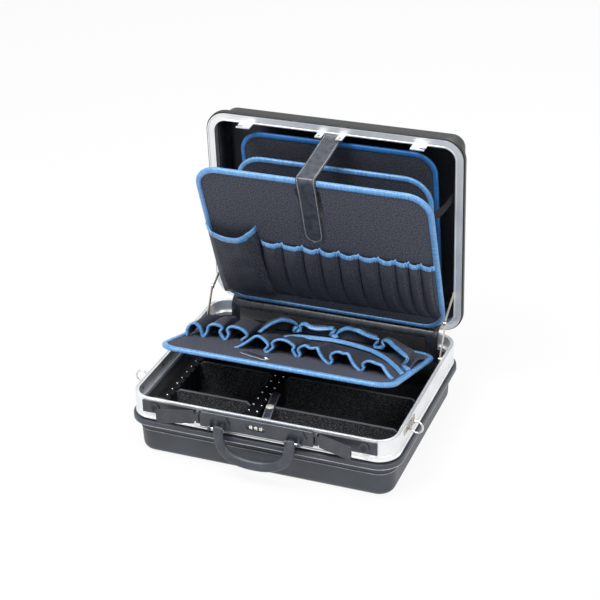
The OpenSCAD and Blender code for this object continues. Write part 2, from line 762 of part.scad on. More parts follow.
// The lower leaves are riveted to the base frame and carry two knuckles each
module base_hinge_leaves() {
  t = frame_t;
  mid = hinge_len / 2 - 15.2;
  color([0.78, 0.79, 0.81]) for (x = hinge_places) translate([x, 0, 0]) {
    translate([-hinge_len / 2, half_d, frame_bottom + 11])
      cube([hinge_len, t, hinge_z - frame_bottom - 9.5]);
    for (s = [-1, 1]) sided(s) difference() {
      union() {
        translate([mid, hinge_y, hinge_z]) rotate([0, 90, 0]) cylinder(r = knuckle_r, h = 15.2);
        translate([mid, half_d, hinge_z - knuckle_r]) cube([15.2, hinge_out, t]);
      }
      translate([mid - 1, hinge_y, hinge_z]) rotate([0, 90, 0]) cylinder(r = hinge_pin_r + pin_clear, h = 18);
    }
    for (s = [-1, 1], z = [frame_bottom + 15, frame_bottom + 25])
      translate([s * hinge_len / 3, half_d + t, z]) rotate([-90, 0, 0]) dome(rivet_r, 0.9);
  }
}

module hinge_pins() {
  color([0.62, 0.63, 0.65]) for (x = hinge_places)
    translate([x, hinge_y, hinge_z]) rod_x(hinge_pin_r, hinge_len + 1);
}

// The upper leaves lie on the outside of the lid shell's rim
module lid_hinge_leaves() {
  t = frame_t;
  mid = hinge_len / 2 - 15.5;
  leaf_y = half_d + lid_rim_out;
  top = lid_rim_z + rim_h - 1;
  low = hinge_z + knuckle_r + 0.3;
  color([0.78, 0.79, 0.81]) opened() for (x = hinge_places) translate([x, 0, 0]) difference() {
    union() {
      translate([-hinge_len / 2, leaf_y, low]) cube([hinge_len, t, top - low]);
      translate([-mid, leaf_y, hinge_z]) cube([2 * mid, t, low - hinge_z + 1]);
      translate([0, hinge_y, hinge_z]) rod_x(knuckle_r, 2 * mid);
      for (s = [-1, 1]) translate([s * hinge_len / 3, leaf_y + t, low + 8]) rotate([-90, 0, 0]) dome(rivet_r, 0.9);
    }
    translate([0, hinge_y, hinge_z]) rod_x(hinge_pin_r + pin_clear, hinge_len);
  }
}

// A lining strip covers the rear wall below the lid's hinge
module hinge_cover() {
  l = case_w - 69;
  t = liner_t;
  rear = half_d - ledge_in - 1.6;
  line = [[rear, mate_z - 62], [rear - 0.6, mate_z - 47], [rear - 3, mate_z - 28], [rear - 1.8, mate_z - 21]];
  color([0.13, 0.13, 0.14]) translate([-l / 2, 0, 0]) rotate([90, 0, 90]) linear_extrude(l)
    polygon(concat(line, [for (i = [len(line) - 1 : -1 : 0]) [line[i][0] - t, line[i][1]]]));
}

// ---------- tool panels ----------

// A stiff board with piping round its edge: its hinge edge lies along X at y = 0, it runs
// towards +y, and its face is +z
module tool_panel(w, h, r) {
  cw = w - 2 * pipe_r;
  ch = h - 2 * pipe_r;
  cr = r - pipe_r;
  translate([0, ch / 2, 0]) {
    translate([0, 0, -panel_t / 2]) linear_extrude(panel_t) round_rect(cw, ch, cr);
    for (sx = [-1, 1], sy = [-1, 1])
      translate([sx * (cw / 2 - cr), sy * (ch / 2 - cr), 0])
        rotate([0, 0, sx > 0 ? (sy > 0 ? 0 : -90) : (sy > 0 ? 90 : 180)])
          rotate_extrude(angle = 90) translate([cr, 0]) circle(pipe_r);
    for (s = [-1, 1]) {
      translate([s * cw / 2, 0, 0]) rod_y(pipe_r, ch - 2 * cr);
      translate([0, s * ch / 2, 0]) rod_x(pipe_r, cw - 2 * cr);
    }
  }
}

// Hangs a panel by its hinge edge in the open lid
module hung(place) {
  opened() translate([0, half_d - place[0], mate_z + place[1]]) rotate([180 + place[2], 0, 0])
    children();
}

// A filled pocket, thin at its root and full at its mouth, between two places along X
module pocket(x0, x1, root, mouth, depth) {
  z = panel_t / 2;
  translate([x0, -pipe_r, 0]) rotate([90, 0, 90]) linear_extrude(x1 - x0)
    polygon([[root, z], [mouth, z], [mouth, z + depth],
      [mouth - 0.25 * (mouth - root), z + 0.9 * depth], [root, z + 1.5]]);
}

module front_panel() {
  color([0.20, 0.20, 0.22]) hung(front_hang) tool_panel(front_w, front_h, panel_corner_r);
}

module middle_panel() {
  color([0.20, 0.20, 0.22]) hung(middle_hang) tool_panel(inner_w, middle_h, panel_corner_r);
}

module rear_panel() {
  color([0.20, 0.20, 0.22]) hung(rear_hang) tool_panel(inner_w, rear_h, rear_corner_r);
}

// A row of small pockets and one large pocket with an open mouth
module front_panel_pockets() {
  t = 2;
  color([0.13, 0.13, 0.14]) hung(front_hang) {
    for (i = [0 : len(small_edges) - 2])
      pocket(small_edges[i] + 0.5, small_edges[i + 1] - 0.5, small_root, small_mouth, small_pocket_depth);
    difference() {
      pocket(large_edges[0], large_edges[1], large_root, large_mouth, large_pocket_depth);
      translate([0, t, -t / 2]) pocket(large_edges[0] + t, large_edges[1] - t, large_root + 8,
        large_mouth, large_pocket_depth - t / 2);
    }
  }
}

module base_panel_frame() {
  translate([base_panel_x, base_pivot[0], base_pivot[1]]) rotate([-base_panel_tilt, 0, 0])
    mirror([0, 1, 0]) children();
}

module base_panel() {
  color([0.20, 0.20, 0.22]) base_panel_frame()
    tool_panel(base_panel_w, base_panel_l, base_corner_r);
}

module base_pockets_left() {
  pitch = 26;
  color([0.13, 0.13, 0.14]) base_panel_frame() for (i = [0 : 2]) {
    x = -base_panel_w / 2 + 15.5 + i * pitch;
    pocket(x, x + pitch - 1, base_panel_l - 18, base_panel_l - 118, pocket_rise);
  }
}

module base_pockets_front() {
  pitch = 0.1407 * base_panel_w;
  color([0.13, 0.13, 0.14]) base_panel_frame() for (i = [0 : 4]) {
    x = -0.26 * base_panel_w + i * pitch;
    pocket(x, x + pitch - 1, base_panel_l - 14, base_panel_l - 92, pocket_rise);
  }
}

module base_pockets_back() {
  pitch = 0.182 * base_panel_w;
  color([0.13, 0.13, 0.14]) base_panel_frame() for (i = [0 : 3]) {
    x = -0.279 * base_panel_w + i * pitch;
    pocket(x, x + pitch - 1, base_panel_l - 164, 40, pocket_rise * 0.65);
  }
}

// A flexible tab that joins the rear edge of the base panel to the lining strip
module base_panel_tab() {
  rear = half_d - ledge_in - 6.3;
  front = base_pivot[0] + pipe_r + soft_gap;
  color([0.11, 0.11, 0.12]) translate([-strip_l / 2, front, base_pivot[1] - 0.6])
    cube([strip_l, rear - front, 1.2]);
}

// Flexible strips that hang the lid's three panels from its frame and its lining
module panel_hinge_strips() {
  t = 1.2;
  lip_y = half_d - lid_face;
  color([0.11, 0.11, 0.12]) opened() translate([-strip_l / 2, 0, 0]) {
    low = mate_z + front_hang[1] + pipe_r + soft_gap;
    translate([0, lip_y - t, low]) cube([strip_l, t, lid_z + lid_lip_h - 3 - low]);
    for (p = [middle_hang, rear_hang]) {
      y = half_d - p[0] + pipe_r + soft_gap;
      wall_y = half_d - lid_lining_in(lid_h - p[1]) - soft_gap;
      translate([0, y, mate_z + p[1] - t / 2]) cube([strip_l, wall_y - y, t]);
    }
  }
}

// The strap from the lid's front edge to the front panel
module strap_span() {
  lid_end = shut_to_open([front_y + lid_face, lid_z + 8]);
  panel_end = shut_to_open(panel_point(front_h - pipe_r + 1.5, 1));
  run = panel_end - lid_end;
  color([0.07, 0.07, 0.075]) translate([0, lid_end[0], lid_end[1]])
    rotate([atan2(run[1], -run[0]) * -1, 0, 0]) translate([0, 0, -0.75]) linear_extrude(1.5)
      polygon([[-8, -3.5], [11, -3.5], [3, -norm(run) + 2], [-29, -norm(run) + 2]]);
}

// Where a point of the shut lid lies when the lid is open, as [y, z]
function shut_to_open(p) = let(y = p[0] - hinge_y, z = p[1] - hinge_z)
  [hinge_y + y * cos(open_angle) + z * sin(open_angle), hinge_z - y * sin(open_angle) + z * cos(open_angle)];

// A point of the front panel in the shut lid: s along it from its hinge, n out of its face
function panel_point(s, n) = let(a = front_hang[2])
  [half_d - front_hang[0] - s * cos(a) + n * sin(a), mate_z + front_hang[1] - s * sin(a) - n * cos(a)];

// The strap's round end lies on the front panel
module strap_end() {
  strap_w = 33;
  strap_top = front_h - 3 * pipe_r - 0.5;
  strap_low = front_h - 126;
  color([0.07, 0.07, 0.075]) hung(front_hang) translate([-12.5, 0, panel_t / 2 + soft_gap])
    linear_extrude(2) {
      translate([-strap_w / 2, strap_low]) square([strap_w, strap_top - strap_low]);
      translate([0, strap_low]) circle(strap_w / 2);
    }
}

// ---------- stays ----------

// A riveted head on the end of a pin, on the side that the pin's axis points to
module stay_head() { cylinder(r = stay_head_r, h = stay_head_t); }

// A link from one point of a side view to another, in a plane at x0 that is stay_t thick
module stay_link_plate(from, to, x0) {
  run = to - from;
  translate([x0, from[0], from[1]]) rotate([atan2(run[1], run[0]), 0, 0]) rotate([90, 0, 90])
    difference() {
      linear_extrude(stay_t) {
        circle(stay_w / 2);
        translate([0, -stay_w / 2 + 1]) square([norm(run), stay_w - 2]);
        translate([norm(run), 0]) circle(stay_w / 2);
      }
      translate([0, 0, -1]) cylinder(r = stay_pin_r + pin_clear, h = stay_t + 2);
    }
}

// The lower link turns outside the plane of the upper one, and its knee carries a rivet head
module stay_lower(s) {
  x = stay_outer_x + 0.4;
  color([0.85, 0.85, 0.86]) sided(s) {
    stay_link_plate(stay_base_at, stay_knee_at, x);
    translate([x + stay_t, stay_knee_at[0], stay_knee_at[1]]) rotate([0, 90, 0]) stay_head();
  }
}

module stay_upper(s) {
  x = stay_outer_x - stay_t;
  color([0.85, 0.85, 0.86]) sided(s) {
    stay_link_plate(shut_to_open(stay_lid_at), stay_knee_at, x);
    translate([x - stay_head_t, stay_knee_at[0], stay_knee_at[1]]) rotate([0, 90, 0]) stay_head();
  }
}

module stay_lower_left() { stay_lower(-1); }
module stay_lower_right() { stay_lower(1); }
module stay_upper_left() { stay_upper(-1); }
module stay_upper_right() { stay_upper(1); }

// Shouldered pins on the base frame's inner wall
module stay_base_pivots() {
  wall = half_w - frame_lip;
  x = stay_outer_x + 0.4;
  color([0.70, 0.71, 0.73]) for (s = [-1, 1]) sided(s) translate([0, stay_base_at[0], stay_base_at[1]]) {
    translate([x + stay_t + 0.2, 0, 0]) rotate([0, 90, 0]) cylinder(r = 4, h = wall - x - stay_t - 0.2);
    translate([x - 0.2, 0, 0]) rotate([0, 90, 0]) cylinder(r = stay_pin_r, h = wall - x);
    translate([x - 0.2, 0, 0]) rotate([0, -90, 0]) cylinder(r = stay_head_r, h = 1.2);
  }
}

// Rivets through the lid frame's inner wall
module stay_lid_pivots() {
  wall = half_w - lid_face;
  x = stay_outer_x - stay_t;
  color([0.70, 0.71, 0.73]) opened() for (s = [-1, 1]) sided(s)
    translate([0, stay_lid_at[0], stay_lid_at[1]]) {
      translate([x - 0.2, 0, 0]) rotate([0, 90, 0]) cylinder(r = stay_pin_r, h = wall - x + 0.2);
      translate([x - 0.2, 0, 0]) rotate([0, -90, 0]) stay_head();
    }
}

// ---------- lid strikers ----------

// Slotted tabs on the lid frame's front wall: the two outer ones take the bolts from their
// outer edges, and the two inner ones hold the middle of the edge in line
module lid_strikers() {
  y = front_y + lid_face;
  low = mate_z - striker_drop;
  h = lid_z + lid_lip_h - 2 - low;
  color([0.93, 0.93, 0.92]) opened() for (s = [-1, 1]) sided(s) {
    difference() {
      translate([striker_x - striker_w / 2, y, low]) cube([striker_w, striker_t, h]);
      translate([striker_x + striker_w / 2 - bolt_travel - 2, y - 1, bolt_z - bolt_size / 2 - 1])
        cube([bolt_travel + 3, striker_t + 2, bolt_size + 2]);
    }
    difference() {
      translate([13, y, low]) cube([12, striker_t, h]);
      translate([19, y - 1, low + 6]) rotate([-90, 0, 0]) cylinder(r = 2.5, h = striker_t + 2);
    }
  }
}

// ---------- the nodes ----------

base_shell();
base_frame();
base_liner();
divider_rails();
centre_beam();
slot_studs();
divider_front_left();
divider_front_right();
divider_middle_left();
divider_middle_right();
snap_strap();
snap_button();
console();
handle_brackets();
handle_pins();
handle();
number_wheel_1();
number_wheel_2();
number_wheel_3();
number_axle();
latch_plate_left();
latch_plate_right();
latch_flap_left();
latch_flap_right();
latch_pins();
lock_cylinder_left();
lock_cylinder_right();
latch_bolt_left();
latch_bolt_right();
ring_bracket_left();
ring_bracket_right();
carry_ring_left();
carry_ring_right();
frame_rivets();
base_hinge_leaves();
hinge_pins();
lid_hinge_leaves();
hinge_cover();
base_panel();
base_pockets_left();
base_pockets_front();
base_pockets_back();
base_panel_tab();
stay_base_pivots();
stay_lower_left();
stay_lower_right();
stay_upper_left();
stay_upper_right();
stay_lid_pivots();
lid_shell();
lid_frame();
lid_liner();
lid_strikers();
panel_hinge_strips();
front_panel();
front_panel_pockets();
middle_panel();
rear_panel();
strap_span();
strap_end();
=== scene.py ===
"""Dresses the open hard tool case: its soft goods, finishes, floor, lights and camera.

Shapes are worked out in millimetres, in a local frame where that is simpler, and each one
becomes a piece in metres in the model's frame: +Z up, -Y the latch side.
"""

import bisect
import json
import math

import bmesh
import bpy
from mathutils import Matrix, Vector, noise


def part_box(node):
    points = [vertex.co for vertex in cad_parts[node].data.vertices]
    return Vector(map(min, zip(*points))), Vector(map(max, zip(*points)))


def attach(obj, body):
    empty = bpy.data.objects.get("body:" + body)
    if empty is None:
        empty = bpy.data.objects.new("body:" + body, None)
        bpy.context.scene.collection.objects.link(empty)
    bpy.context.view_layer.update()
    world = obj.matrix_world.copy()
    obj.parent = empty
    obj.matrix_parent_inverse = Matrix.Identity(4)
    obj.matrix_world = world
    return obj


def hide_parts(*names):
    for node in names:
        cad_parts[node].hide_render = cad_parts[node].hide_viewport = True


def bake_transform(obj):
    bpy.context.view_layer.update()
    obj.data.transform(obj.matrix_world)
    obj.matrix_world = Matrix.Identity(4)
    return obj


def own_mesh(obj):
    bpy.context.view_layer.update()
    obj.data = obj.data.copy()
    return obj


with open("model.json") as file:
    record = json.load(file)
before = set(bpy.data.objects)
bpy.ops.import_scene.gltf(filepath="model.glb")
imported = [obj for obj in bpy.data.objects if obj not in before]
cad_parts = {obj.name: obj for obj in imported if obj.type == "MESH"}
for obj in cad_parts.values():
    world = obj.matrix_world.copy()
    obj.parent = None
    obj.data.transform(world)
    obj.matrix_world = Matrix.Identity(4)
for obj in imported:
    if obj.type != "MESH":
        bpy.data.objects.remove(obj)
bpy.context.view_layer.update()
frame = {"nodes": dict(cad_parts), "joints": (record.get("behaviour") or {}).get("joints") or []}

MM = 0.001
UP = Vector((0, 0, 1))
ACROSS = Vector((1, 0, 0))
# Where each moving body turns, in millimetres.
JOINT_AT = {j["child"]: Vector(j["pos_m"]) / MM for j in frame["joints"] if "pos_m" in j}
HINGE = JOINT_AT["lid"]
OPEN_ANGLE = 88


def box_mm(node):
    """Lowest and highest corners of a CAD node, in millimetres."""
    return [Vector(corner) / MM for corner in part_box(node)]


# Height at which the base and the lid meet when shut.
MATE_Z = box_mm("base_frame")[1].z


# ---------- camera and light ----------

VIEW_TARGET = (-0.0045, 0.0294, 0.1098 + MATE_Z * MM)
VIEW_AZIMUTH, VIEW_ELEVATION, VIEW_ROLL = 21.743, 28.36, -1.492
VIEW_DISTANCE = 2.7343
LENS_MM = 96.84


def around_z(azimuth, elevation, distance):
    """A point seen from the middle of the case at that azimuth, from -Y towards +X."""
    a, e = math.radians(azimuth), math.radians(elevation)
    return Vector((math.sin(a) * math.cos(e), -math.cos(a) * math.cos(e), math.sin(e))) * distance


def aim(obj, place, target, roll=0.0):
    """Puts a camera or a light at a place and turns it to the target."""
    back = (Vector(place) - Vector(target)).to_track_quat("Z", "Y")
    obj.matrix_world = (Matrix.Translation(Vector(place)) @ back.to_matrix().to_4x4()
                        @ Matrix.Rotation(math.radians(roll), 4, "Z"))
    bpy.context.scene.collection.objects.link(obj)


def make_camera():
    data = bpy.data.cameras.new("camera")
    data.lens = LENS_MM
    data.sensor_width = 36
    data.clip_end = 50
    place = Vector(VIEW_TARGET) + around_z(VIEW_AZIMUTH, VIEW_ELEVATION, VIEW_DISTANCE)
    camera = bpy.data.objects.new("camera", data)
    aim(camera, place, VIEW_TARGET, VIEW_ROLL)
    bpy.context.scene.camera = camera


def area_light(name, azimuth, elevation, distance, size, power):
    data = bpy.data.lights.new(name, "AREA")
    data.shape = "RECTANGLE"
    data.size, data.size_y = size
    data.energy = power
    target = Vector((0, 0, 0.2))
    place = target + around_z(azimuth, elevation, distance)
    aim(bpy.data.objects.new(name, data), place, target)


# ---------- materials ----------

def linear(text, alpha=1.0):
    """An sRGB colour such as #3f8fd2 as linear red, green, blue and alpha."""
    parts = [int(text[i:i + 2], 16) / 255 for i in (1, 3, 5)]
    return [c / 12.92 if c <= 0.04045 else ((c + 0.055) / 1.055) ** 2.4 for c in parts] + [alpha]


def add(tree, kind, inputs=None, stops=None, **settings):
    """Adds a node. Its inputs are values, sRGB colours or the sockets that feed them."""
    node = tree.nodes.new(kind)
    for key, value in settings.items():
        setattr(node, key, value)
    for key, value in (inputs or {}).items():
        if isinstance(value, bpy.types.NodeSocket):
            tree.links.new(value, node.inputs[key])
        elif isinstance(value, str):
            node.inputs[key].default_value = linear(value)
        else:
            node.inputs[key].default_value = value
    if stops:
        ramp = node.color_ramp
        while len(ramp.elements) < len(stops):
            ramp.elements.new(0.5)
        for element, (place, colour) in zip(ramp.elements, stops):
            element.position = place
            element.color = linear(colour)
    return node


def new_material(name):
    """An empty node tree with its output, ready for a surface."""
    material = bpy.data.materials.new(name)
    material.use_nodes = True
    material.node_tree.nodes.clear()
    return material, material.node_tree


def patterned(name, mapped=False):
    """A new material, and where its pattern is measured: in space, or along the flat map."""
    material, tree = new_material(name)
    if mapped:
        return material, tree, add(tree, "ShaderNodeUVMap", uv_map="flat").outputs[0]
    return material, tree, add(tree, "ShaderNodeTexCoord").outputs["Object"]


def surface(tree, **sockets):
    """The shader of a material. A socket's name has _ for each space."""
    shader = add(tree, "ShaderNodeBsdfPrincipled",
                 {key.replace("_", " "): value for key, value in sockets.items()})
    add(tree, "ShaderNodeOutputMaterial", {"Surface": shader.outputs[0]})


def across(mm):
    """Noise or Voronoi scale that gives a pattern of that size."""
    return 1 / (mm * MM)


def bands(mm):
    """Wave scale that repeats every so many millimetres."""
    return math.pi / 10 / (mm * MM)


def cloudy(tree, place, mm, detail=3.0, **more):
    """Noise of that size."""
    return add(tree, "ShaderNodeTexNoise",
               {"Vector": place, "Scale": across(mm), "Detail": detail, **more}).outputs[0]


def relief(tree, height, depth, strength):
    """The normals that a height pattern gives when it is so many metres deep."""
    return add(tree, "ShaderNodeBump",
               {"Height": height, "Distance": depth, "Strength": strength}).outputs[0]


def uneven(tree, tone, shades, wear, gloss, height, depth, strength, **sockets):
    """Ends a material: a tone drifts between two shades, wear moves the roughness between two
    values, and a relief breaks up the highlights."""
    colour = add(tree, "ShaderNodeValToRGB", {0: tone}, shades)
    rough = add(tree, "ShaderNodeMapRange", {0: wear, 3: gloss[0], 4: gloss[1]})
    surface(tree, Base_Color=colour.outputs[0], Roughness=rough.outputs[0],
            Normal=relief(tree, height, depth, strength), **sockets)


def vacuum_formed_abs(name, dark, light, roughness):
    """Grained ABS sheet: a fine pebble grain that breaks up broad soft highlights."""
    material, tree, place = patterned(name)
    grain = add(tree, "ShaderNodeTexVoronoi", {"Vector": place, "Scale": across(1.3)})
    pebble = cloudy(tree, place, 0.8)
    height = add(tree, "ShaderNodeMath", {0: grain.outputs["Distance"], 1: pebble},
                 operation="ADD")
    drift = cloudy(tree, place, 60, 4.0)
    uneven(tree, drift, [(0.3, dark), (0.7, light)], pebble,
           (roughness - 0.07, roughness + 0.09), height.outputs[0], 0.00022, 0.5)
    return material


def moulded_plastic(name, dark, light, roughness=0.42, grain=0.7):
    """Moulded plastic with a fine spark-eroded finish: an even sheen, a little uneven up close."""
    material, tree, place = patterned(name)
    spark = cloudy(tree, place, grain, 2.0)
    drift = cloudy(tree, place, 18)
    uneven(tree, drift, [(0.3, dark), (0.7, light)], spark,
           (roughness - 0.06, roughness + 0.06), spark, 0.00008, 0.4)
    return material


def metal(name, dark, light, roughness, grain, strength, metallic=1.0):
    """Bare or plated metal: its polish is a little uneven, and a fine grain breaks its gloss.
    An anodised film scatters some light, so it isn't metallic throughout."""
    material, tree, place = patterned(name)
    fine = cloudy(tree, place, grain)
    drift = cloudy(tree, place, 45, 2.0)
    uneven(tree, drift, [(0.3, dark), (0.7, light)], fine, (roughness * 0.8, roughness * 1.25),
           fine, 0.00001, strength, Metallic=metallic)
    return material


def woven(name, dark, light, thread, roughness=0.8, gloss=0.12, depth=0.0003):
    """Plain-woven polyester: warp and weft cross over and under, and the nap is mottled. Its
    pattern runs along the piece's own flat map, and the threads are drawn coarse to show."""
    material, tree, flat = patterned(name, True)
    warp, weft = (add(tree, "ShaderNodeTexWave",
                      {"Vector": flat, "Scale": bands(thread), "Distortion": 0.6, "Detail": 1.0},
                      bands_direction=way) for way in "XY")
    weave = add(tree, "ShaderNodeMath", {0: warp.outputs[1], 1: weft.outputs[1]},
                operation="MULTIPLY")
    mottle = cloudy(tree, flat, 2.6, Roughness=0.75)
    mixed = add(tree, "ShaderNodeMix", {0: 0.3, 2: mottle, 3: weave.outputs[0]}).outputs[0]
    colour = add(tree, "ShaderNodeValToRGB", {0: mixed}, [(0.36, dark), (0.6, light)])
    surface(tree, Base_Color=colour.outputs[0], Roughness=roughness, Specular_IOR_Level=gloss,
            Normal=relief(tree, mixed, depth, 0.7))
    return material


def binding_tape(name, dark, light, roughness):
    """Ribbed polyester binding tape: a bright blue with a satin gloss. Its cross ribs are drawn
    coarse to show, and their colour fades in places."""
    material, tree, flat = patterned(name, True)
    ribs = add(tree, "ShaderNodeTexWave",
               {"Vector": flat, "Scale": bands(2.4), "Distortion": 0.5}, bands_direction="X")
    fade = cloudy(tree, flat, 5)
    mixed = add(tree, "ShaderNodeMix", {0: 0.4, 2: fade, 3: ribs.outputs[1]})
    colour = add(tree, "ShaderNodeValToRGB", {0: mixed.outputs[0]}, [(0.25, dark), (0.68, light)])
    surface(tree, Base_Color=colour.outputs[0], Roughness=roughness, Specular_IOR_Level=0.7,
            Normal=relief(tree, ribs.outputs[1], 0.0003, 0.5))
    return material


def leather(name, dark, light, roughness=0.38):
    """Coated split leather: a cracked grain, drawn coarse to show, under a finish that shines."""
    material, tree, flat = patterned(name, True)
    cells = add(tree, "ShaderNodeTexVoronoi", {"Vector": flat, "Scale": across(1.6)},
                feature="DISTANCE_TO_EDGE")
    drift = cloudy(tree, flat, 11, 4.0)
    uneven(tree, drift, [(0.3, dark), (0.72, light)], drift,
           (roughness - 0.08, roughness + 0.14), cells.outputs[0], 0.00025, 0.45)
    return material


def flocked_foam(name, dark, light, fleck=1.7, edge=None):
    """Rough foam or flock, flecked with paler grains. Given an edge colour, the faces that look up
    take it flat: a painted highlight of the light from above.
    """
    material, tree, place = patterned(name)
    grit = cloudy(tree, place, fleck, 2.0, Roughness=0.85)
    base = add(tree, "ShaderNodeValToRGB", {0: grit}, [(0.5, dark), (0.63, light)]).outputs[0]
    # Painted highlight: faces that look up take the flat pale edge colour in place of their flecks.
    if edge:
        normal = add(tree, "ShaderNodeNewGeometry").outputs["Normal"]
        facing = add(tree, "ShaderNodeSeparateXYZ", {0: normal})
        top = add(tree, "ShaderNodeMath", {0: facing.outputs[2], 1: 0.6}, operation="GREATER_THAN")
        base = add(tree, "ShaderNodeMix", {0: top.outputs[0], 6: base, 7: edge},
                   data_type="RGBA").outputs[2]
    surface(tree, Base_Color=base, Roughness=0.9, Specular_IOR_Level=0.25, Sheen_Weight=0.3,
            Normal=relief(tree, grit, 0.0009, 0.8))
    return material


def soft_vinyl(name, dark, light, roughness):
    """Calendered vinyl sheet: smooth, with a wide highlight and faint ripples."""
    material, tree, place = patterned(name)
    ripple = cloudy(tree, place, 14)
    uneven(tree, ripple, [(0.3, dark), (0.7, light)], ripple,
           (roughness - 0.05, roughness + 0.08), ripple, 0.0006, 0.3)
    return material


BASE_ABS = vacuum_formed_abs("vacuum_formed_abs_grey", "#363a41", "#42474f", 0.42)
LID_ABS = vacuum_formed_abs("vacuum_formed_abs_black", "#0a0a0c", "#101113", 0.34)
# Pale grey for the base shell's beads: a painted highlight where its edges catch the light, not the
# shell's own colour.
BEAD_PAINTED_HIGHLIGHT = moulded_plastic("abs_bead_painted_highlight", "#8a9099", "#a9aeb6", 0.3)
ALUMINIUM = metal("anodised_aluminium", "#e4e7ea", "#f4f5f6", 0.34, 2.5, 0.2, 0.75)
CHROME = metal("chromed_steel", "#dcdee0", "#eceded", 0.10, 2.0, 0.1)
STEEL = metal("zinc_plated_steel", "#b3ab9a", "#d2ccbe", 0.30, 2.0, 0.3)
BRASS = metal("yellow_plated_steel", "#8f7440", "#c2a468", 0.28, 2.0, 0.2)
WHITE_PLASTIC = moulded_plastic("moulded_white_plastic", "#e4e4e0", "#f6f6f2", 0.35)
BLACK_PLASTIC = moulded_plastic("moulded_black_plastic", "#30343b", "#41464e", 0.32)
LOCK_PLASTIC = moulded_plastic("moulded_lock_plastic", "#17181b", "#25272c", 0.2)
GREY_PLASTIC = moulded_plastic("moulded_grey_plastic", "#2f3238", "#3f434a", 0.34)
SOFT_GRIP = moulded_plastic("soft_touch_grip", "#34383f", "#464c54", 0.38, 0.9)
DIGIT_INK = moulded_plastic("black_ink", "#121214", "#1c1c1f", 0.5)
PANEL_CLOTH = woven("woven_polyester_charcoal", "#2c2e36", "#777a88", 1.6)
BACKING_CLOTH = woven("woven_polyester_backing", "#1e2025", "#5b5e6a", 1.6, 0.6, 0.2)
POCKET_CLOTH = woven("woven_polyester_black", "#282a31", "#636673", 1.6, 0.6, 0.25)
LINING_CLOTH = woven("satin_lining_black", "#18191d", "#4a4d57", 1.8, 0.38, 0.5)
WEBBING = woven("elastic_webbing_black", "#101012", "#26262b", 1.2, 0.8, 0.2)
BLUE_TAPE = binding_tape("binding_tape_blue", "#1f67ae", "#7db3e2", 0.30)
DEEP_BLUE_TAPE = binding_tape("binding_tape_deep_blue", "#11569a", "#2a7ac2", 0.42)
STRAP_LEATHER = leather("coated_leather_black", "#2b2e34", "#4e525b", 0.3)
# The last colour paints the foam's upward faces pale: a painted highlight.
FOAM = flocked_foam("conductive_foam", "#111214", "#6a6d74", 2.0, "#6c7078")
LINING_FOAM = flocked_foam("lining_foam", "#0c0d0f", "#2b2d32")
HOOK_TAPE = flocked_foam("hook_tape_black", "#090a0b", "#2c2e34", 2.2)
RAIL_PLASTIC = moulded_plastic("moulded_rail_plastic", "#101113", "#1b1c20", 0.42)
HINGE_VINYL = soft_vinyl("calendered_vinyl_grey", "#1e2125", "#2b2f35", 0.26)
PALE_THREAD = moulded_plastic("waxed_thread_grey", "#979da6", "#b4b9c0", 0.6, 0.4)
BLUE_THREAD = moulded_plastic("sewing_thread_blue", "#1b5693", "#2a6cb0", 0.6, 0.4)


# ---------- making pieces ----------

def piece(bm, name, material, body, place=None, smooth=True, keep_normals=False):
    """Turns a bmesh in millimetres into a finished piece that rides on a body. The flat map
    keeps the local x and y in metres, unless the shape has made its own."""
    flat = bm.loops.layers.uv.get("flat")
    if flat is None:
        flat = bm.loops.layers.uv.new("flat")
        for face in bm.faces:
            for loop in face.loops:
                loop[flat].uv = loop.vert.co.xy * MM
    if not keep_normals:
        bmesh.ops.recalc_face_normals(bm, faces=bm.faces)
    bm.transform(Matrix.Scale(MM, 4) @ (place or Matrix()))
    mesh = bpy.data.meshes.new(name)
    for face in bm.faces:
        face.smooth = smooth
    bm.to_mesh(mesh)
    bm.free()
    mesh.materials.append(material)
    obj = bpy.data.objects.new(name, mesh)
    bpy.context.scene.collection.objects.link(obj)
    if body:
        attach(obj, body)
    return obj


def runs_along(points):
    """How far along a path each of its points lies."""
    runs = [0.0]
    for a, b in zip(points, points[1:]):
        runs.append(runs[-1] + (b - a).length)
    return runs


def only(kind, geom):
    """The vertices, edges or faces among what a bmesh operator made."""
    return [g for g in geom if isinstance(g, kind)]


def thicken(bm, thickness):
    """Turns a sheet's faces all one way and gives it a wall."""
    bmesh.ops.recalc_face_normals(bm, faces=bm.faces)
    bmesh.ops.solidify(bm, geom=bm.faces[:], thickness=thickness)


def frames_along(points, ups, closed=False):
    """A frame at each point of a path: z along it, y as near as it can be to the up there."""
    frames = []
    count = len(points)
    for i, point in enumerate(points):
        after = points[(i + 1) % count] if closed or i + 1 < count else points[i]
        before = points[i - 1] if closed or i > 0 else points[i]
        ahead = (after - before).normalized()
        side = ups[i].cross(ahead).normalized()
        up = ahead.cross(side)
        frames.append(Matrix.Translation(point) @ Matrix((side, up, ahead)).transposed().to_4x4())
    return frames


